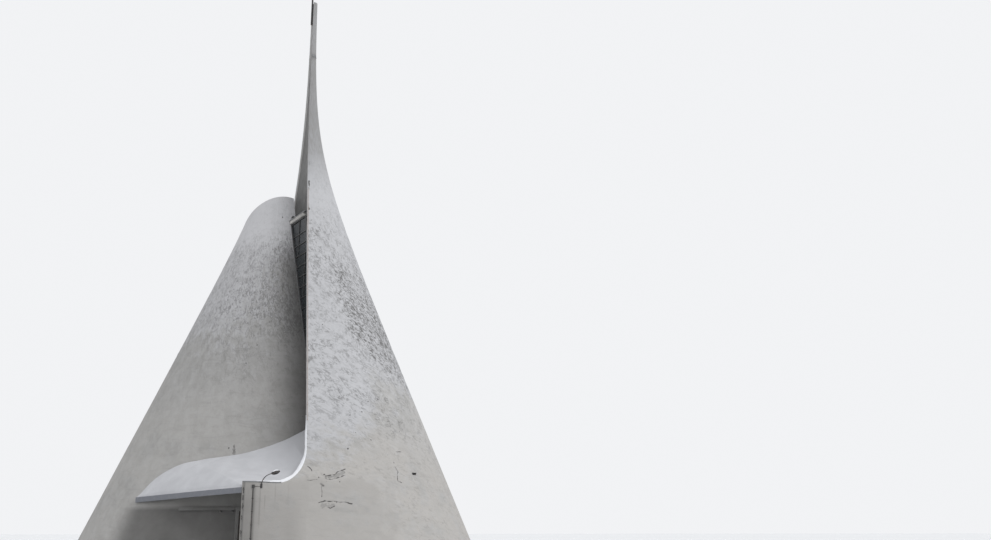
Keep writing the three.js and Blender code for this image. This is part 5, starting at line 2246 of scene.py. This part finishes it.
@dataclass
class PorchLamp:
    """Round lamp under the porch band."""

    number: int
    turn: float
    foot: float = 2.5796
    radius: float = 0.06
    bowl: Pair = (0.046, 0.024)
    can: tuple[Pair, ...] = (
        (0.045, 0.02), (0.055, 0.024), (0.055, 0.034), (0.05, 0.037), (0.05, 0.047), (0.055, 0.05),
        (0.055, 0.06), (0.05, 0.063), (0.05, 0.074), (0.06, 0.078), (0.06, 0.088), (0.03, 0.09),
    )

    def build(self) -> None:
        """Ribbed can with a flange, and a clouded glass below."""
        name = f"porch_lamp_{self.number}"
        distance = shell_radius(self.foot) + self.radius + 0.0004
        centre = round_axis(LOW_AXIS, math.radians(self.turn), distance, self.foot)
        Surface().lathe(self.can, centre, UP, 28).piece(f"{name}_can", FITTING, Slot.METAL, replaces=[name])
        fall = np.linspace(0, math.pi / 2, 9)
        radius, depth = self.bowl
        bowl = places(radius * np.sin(fall) + 0.0005, depth - depth * np.cos(fall))
        Surface().lathe(bowl, centre, UP, 28).piece(f"{name}_lens", LENS, Slot.METAL)


@dataclass
class Cross:
    """Plain cross of square tube on the spire, held by brackets.

    Stem and arm lie under the caps' outlines by their own gaps. A cover plate at the
    crossing is a reach and a thickness, and a bracket is a width and a thickness.
    """

    middle: Pair = (0.5218, -1.3)
    foot: float = 35.4
    top: float = 39.4
    arm: float = 38.5
    reach: float = 0.75
    size: float = 0.12
    stem_gap: float = 0.004
    arm_gap: float = 0.006
    cap: float = 0.012
    side_cap: float = 0.006
    cover: Pair = (0.03, 0.008)
    brackets: Triple = (35.6, 36.2, 36.8)
    bracket: Pair = (0.07, 0.008)
    bracket_reach: Pair = (-0.02, 0.11)
    bolt: tuple[Pair, ...] = ((0.014, -0.004), (0.014, 0.008), (0.009, 0.012))

    def place(self, side: float, z: float, forward: float = 0.0) -> Array:
        """Place beside the stem, at a height and forward along +X."""
        return np.array([self.middle[0] + forward, self.middle[1] + side, z])

    def build(self) -> None:
        """Stem, arm, end caps, plates at the crossing and bolted brackets."""
        size, half = self.size, self.size / 2
        place = self.place
        gap, thin = self.stem_gap, size - 2 * self.arm_gap
        stem = (place(0, z) for z in (self.foot + gap, self.top - gap))
        arm = (place(side * (self.reach - gap), self.arm) for side in (-1, 1))
        surface = Surface().bar(*stem, size - 2 * gap, size - 2 * gap, EAST, 0.012)
        surface.bar(*arm, thin, thin, UP, 0.012)
        for low in (self.foot, self.top - self.cap):
            surface.bar(place(0, low), place(0, low + self.cap), size, size, EAST)
        for side in (-1, 1):
            cap = (place(side * (self.reach - gap), self.arm) for gap in (self.side_cap, 0))
            surface.bar(*cap, size, size, UP, 0.003)
            for rise in (-1, 1):
                corner = place(side * (half + 0.02), self.arm + rise * (half + 0.02))
                reach, thick = self.cover
                lean = np.array([0, side, -rise]) * reach
                surface.bar(corner - lean, corner + lean, size - reach, thick, (0, side, rise), 0.002)
        for z in self.brackets:
            for side in (-1, 1):
                wide, thick = self.bracket
                ends = (place(side * (half + thick / 2), z, forward) for forward in self.bracket_reach)
                surface.bar(*ends, wide, thick, -side * OUT, 0.002)
                surface.lathe(self.bolt, place(side * (half + thick), z), -side * OUT, 6)
        surface.piece("cross_frame", FITTING, Slot.METAL, replaces=["cross"])


@dataclass
class SpireCollar:
    """Thin collar over the joint in the spire."""

    rise: tuple[float, ...] = (-0.07, -0.06, -0.045, -0.03, 0.06)
    lift: tuple[float, ...] = (0.006, 0.016, 0.016, 0.007, 0.006)

    def build(self) -> None:
        """Strip bent round the outer face with a bead along its lower edge."""
        turn, rise = np.meshgrid(np.radians(np.linspace(0.6, 195.8, 61)), self.rise)
        z = SPIRE_JOINT + rise
        lifts = (np.array(self.lift)[:, None], -0.01)
        surface = Surface().sheet(*(round_axis(TALL_AXIS, turn, shell_radius(z) + lift, z) for lift in lifts))
        surface.piece("spire_collar", FLASHING, Slot.SPRAYED)


@dataclass
class MainRoofSnow:
    """Snow on the flat roof between the shells.

    Its border is found along rays from the middle: the distance at which each ray first
    meets a shell's inner or outer face or a slot's plane.
    """

    base: float = 21.25
    deepest: float = 0.16
    clearance: float = 0.03
    reveal: float = 0.09
    rays: int = 240
    ray: Pair = (0.05, 5.0)
    ray_steps: int = 1200
    cells: int = 56

    def border(self, z: float) -> Array:
        """Distance from the middle to the walls in each direction.

        Args:
            z: height that it is found at.

        Returns:
            A distance for each ray.
        """
        turn = round_turn(self.rays)
        reach = np.linspace(*self.ray, self.ray_steps)[:, None]
        x, y = reach * np.sin(turn), -reach * np.cos(turn)
        radius = shell_radius(z)
        free = np.ones(x.shape, bool)
        for axis, start in ((TALL_AXIS, 0.0), (LOW_AXIS, math.pi)):
            away = np.hypot(x - axis[0], y - axis[1])
            angle = np.mod(np.arctan2(x - axis[0], axis[1] - y) - start, TAU)
            within = (away > radius - WALL - self.clearance) & (away < radius + self.clearance)
            free &= ~(within & (angle < SWEEP + 0.02))
        for sign in (1, -1):
            inwards = (sign * x - SLOT_X) * SLOT_INTO[0] + sign * y * SLOT_INTO[1]
            free &= ~((inwards < self.reveal) & (-sign * y > 0))
        return reach[np.argmax(~free, axis=0), 0]

    def build(self) -> None:
        """Square grid bent to the border, crowned and lumpy.

        A square's u and v become x = u times the root of 1 less half of v squared, and
        the like for y, which fills a disc; the border's distance there scales it.
        """
        border = np.minimum(self.border(self.base), self.border(self.base + self.deepest)) - 0.01
        u, v = even_grid((-1, 1), self.cells, (-1, 1), self.cells)
        x, y = u * np.sqrt(1 - v * v / 2), v * np.sqrt(1 - u * u / 2)
        reach = np.interp(np.arctan2(x, -y), round_turn(self.rays), border, period=TAU)
        ground = places(x * reach, y * reach, self.base + 0.002)
        deep = (0.12 + 0.05 * lumps(ground, 0.9, 91, 2)) * dome(np.hypot(x, y), 10)
        surface = Surface().sheet(ground + deep[..., None] * UP, ground)
        surface.piece("main_roof_snow", SNOW, Slot.ROOF, sharp=80)


# Camera, light, floor and order of work

CAMERA_PLACE = (-4.704, -68.011, 1.65)
CAMERA_TILT = math.radians(90 + 13.98)
CAMERA_TURN = math.radians(-15.394)
LENS_LENGTH = 37.94
SENSOR_WIDTH = 36.0
SKY = (0.885, 0.893, 0.91, 1)
LAMP_TURN = (math.radians(50), 0, math.radians(48))
FLOOR_REACH = (-400.0, 400.0)
FLOOR_TOP = -0.03


def add_camera() -> None:
    """Camera at the photograph's place: low, some 67 m off and tilted upwards."""
    data = bpy.data.cameras.new("camera")
    data.lens = LENS_LENGTH
    data.sensor_width = SENSOR_WIDTH
    camera = bpy.data.objects.new("camera", data)
    camera.location = CAMERA_PLACE
    camera.rotation_euler = (CAMERA_TILT, 0, CAMERA_TURN)
    bpy.context.scene.collection.objects.link(camera)
    bpy.context.scene.camera = camera


def add_light() -> None:
    """Overcast light: a pale sky and a wide soft lamp from the right."""
    world = bpy.data.worlds.new("overcast")
    world.use_nodes = True
    sky = world.node_tree.nodes["Background"]
    sky.inputs["Color"].default_value = SKY
    sky.inputs["Strength"].default_value = 1.0
    bpy.context.scene.world = world
    data = bpy.data.lights.new("soft sun", "SUN")
    data.energy = 1.0
    data.angle = math.radians(50)
    lamp = bpy.data.objects.new("soft sun", data)
    lamp.rotation_euler = LAMP_TURN
    bpy.context.scene.collection.objects.link(lamp)


def add_floor() -> None:
    """Plain pale floor just below the building's foot."""
    corners = places(*even_grid(FLOOR_REACH, 1, FLOOR_REACH, 1), FLOOR_TOP)
    surface = Surface().sheet(corners, corners - 0.1 * UP)
    mesh = bpy.data.meshes.new("floor")
    mesh.from_pydata(np.concatenate(surface.points).tolist(), [], np.concatenate(surface.faces).tolist())
    floor = bpy.data.objects.new("floor", mesh)
    bpy.context.scene.collection.objects.link(floor)
    finish = CastConcrete("pale floor", pale=(0.78, 0.79, 0.8), deep=(0.75, 0.76, 0.77), run=0)
    mesh.materials.append(finish.material())


def dress_solids() -> None:
    """Gives each solid that still shows its procedural finish."""
    slots = {part["node"]: part["material_slot"] for part in frame["record"]["subparts"]}
    for name, node in frame["nodes"].items():
        # The porch band and the door's surround take the painted-shade copy of cast concrete.
        sheltered = name.endswith(("_porch_band", "_surround"))
        finish = SHADED_CAST if sheltered else SLOT_FINISHES[Slot(slots[name])]
        node.data.materials.clear()
        node.data.materials.append(finish.material())


def main() -> None:
    """Builds the looks in order."""
    bpy.context.scene.view_settings.view_transform = "Standard"
    add_camera()
    add_light()
    add_floor()
    dress_solids()
    tall_solids = [*shell_nodes("tall_shell"), "spire_lower", "spire_upper"]
    low_levels = ((0.0, 6), (DOOR_HOLE_TOP, 10), (DOOR_WALL_TOP, 26))
    tall_levels = (*low_levels[:2], (DOOR_WALL_TOP, 28), (SPIRE_FOOT, 20))
    tall = TallShell("tall_shell", TALL_AXIS, 0.0, SPIRE_TOP, tall_solids, CONCRETE, tall_levels)
    low_solids = shell_nodes("low_shell")
    rim = RIM_LOW + RIM_RISE
    low = LowShell("low_shell", LOW_AXIS, math.pi, rim, low_solids, LOW_CONCRETE, low_levels)
    for part in (tall, TallShellMarks(tall), low, LowShellMarks(low)):
        part.build()
    for end in End:
        for kind in (WingWall, Porch, GlazedSlot, HeadCap, DoorPair):
            kind(end).build()
    lamps = (WallLamp(), WallConduit(), Floodlight(), PorchLamp(1, -17.1), PorchLamp(2, -13.5))
    for part in (MainRoofSnow(), *lamps, Cross(), SpireCollar()):
        part.build()


if __name__ == "__main__":
    main()
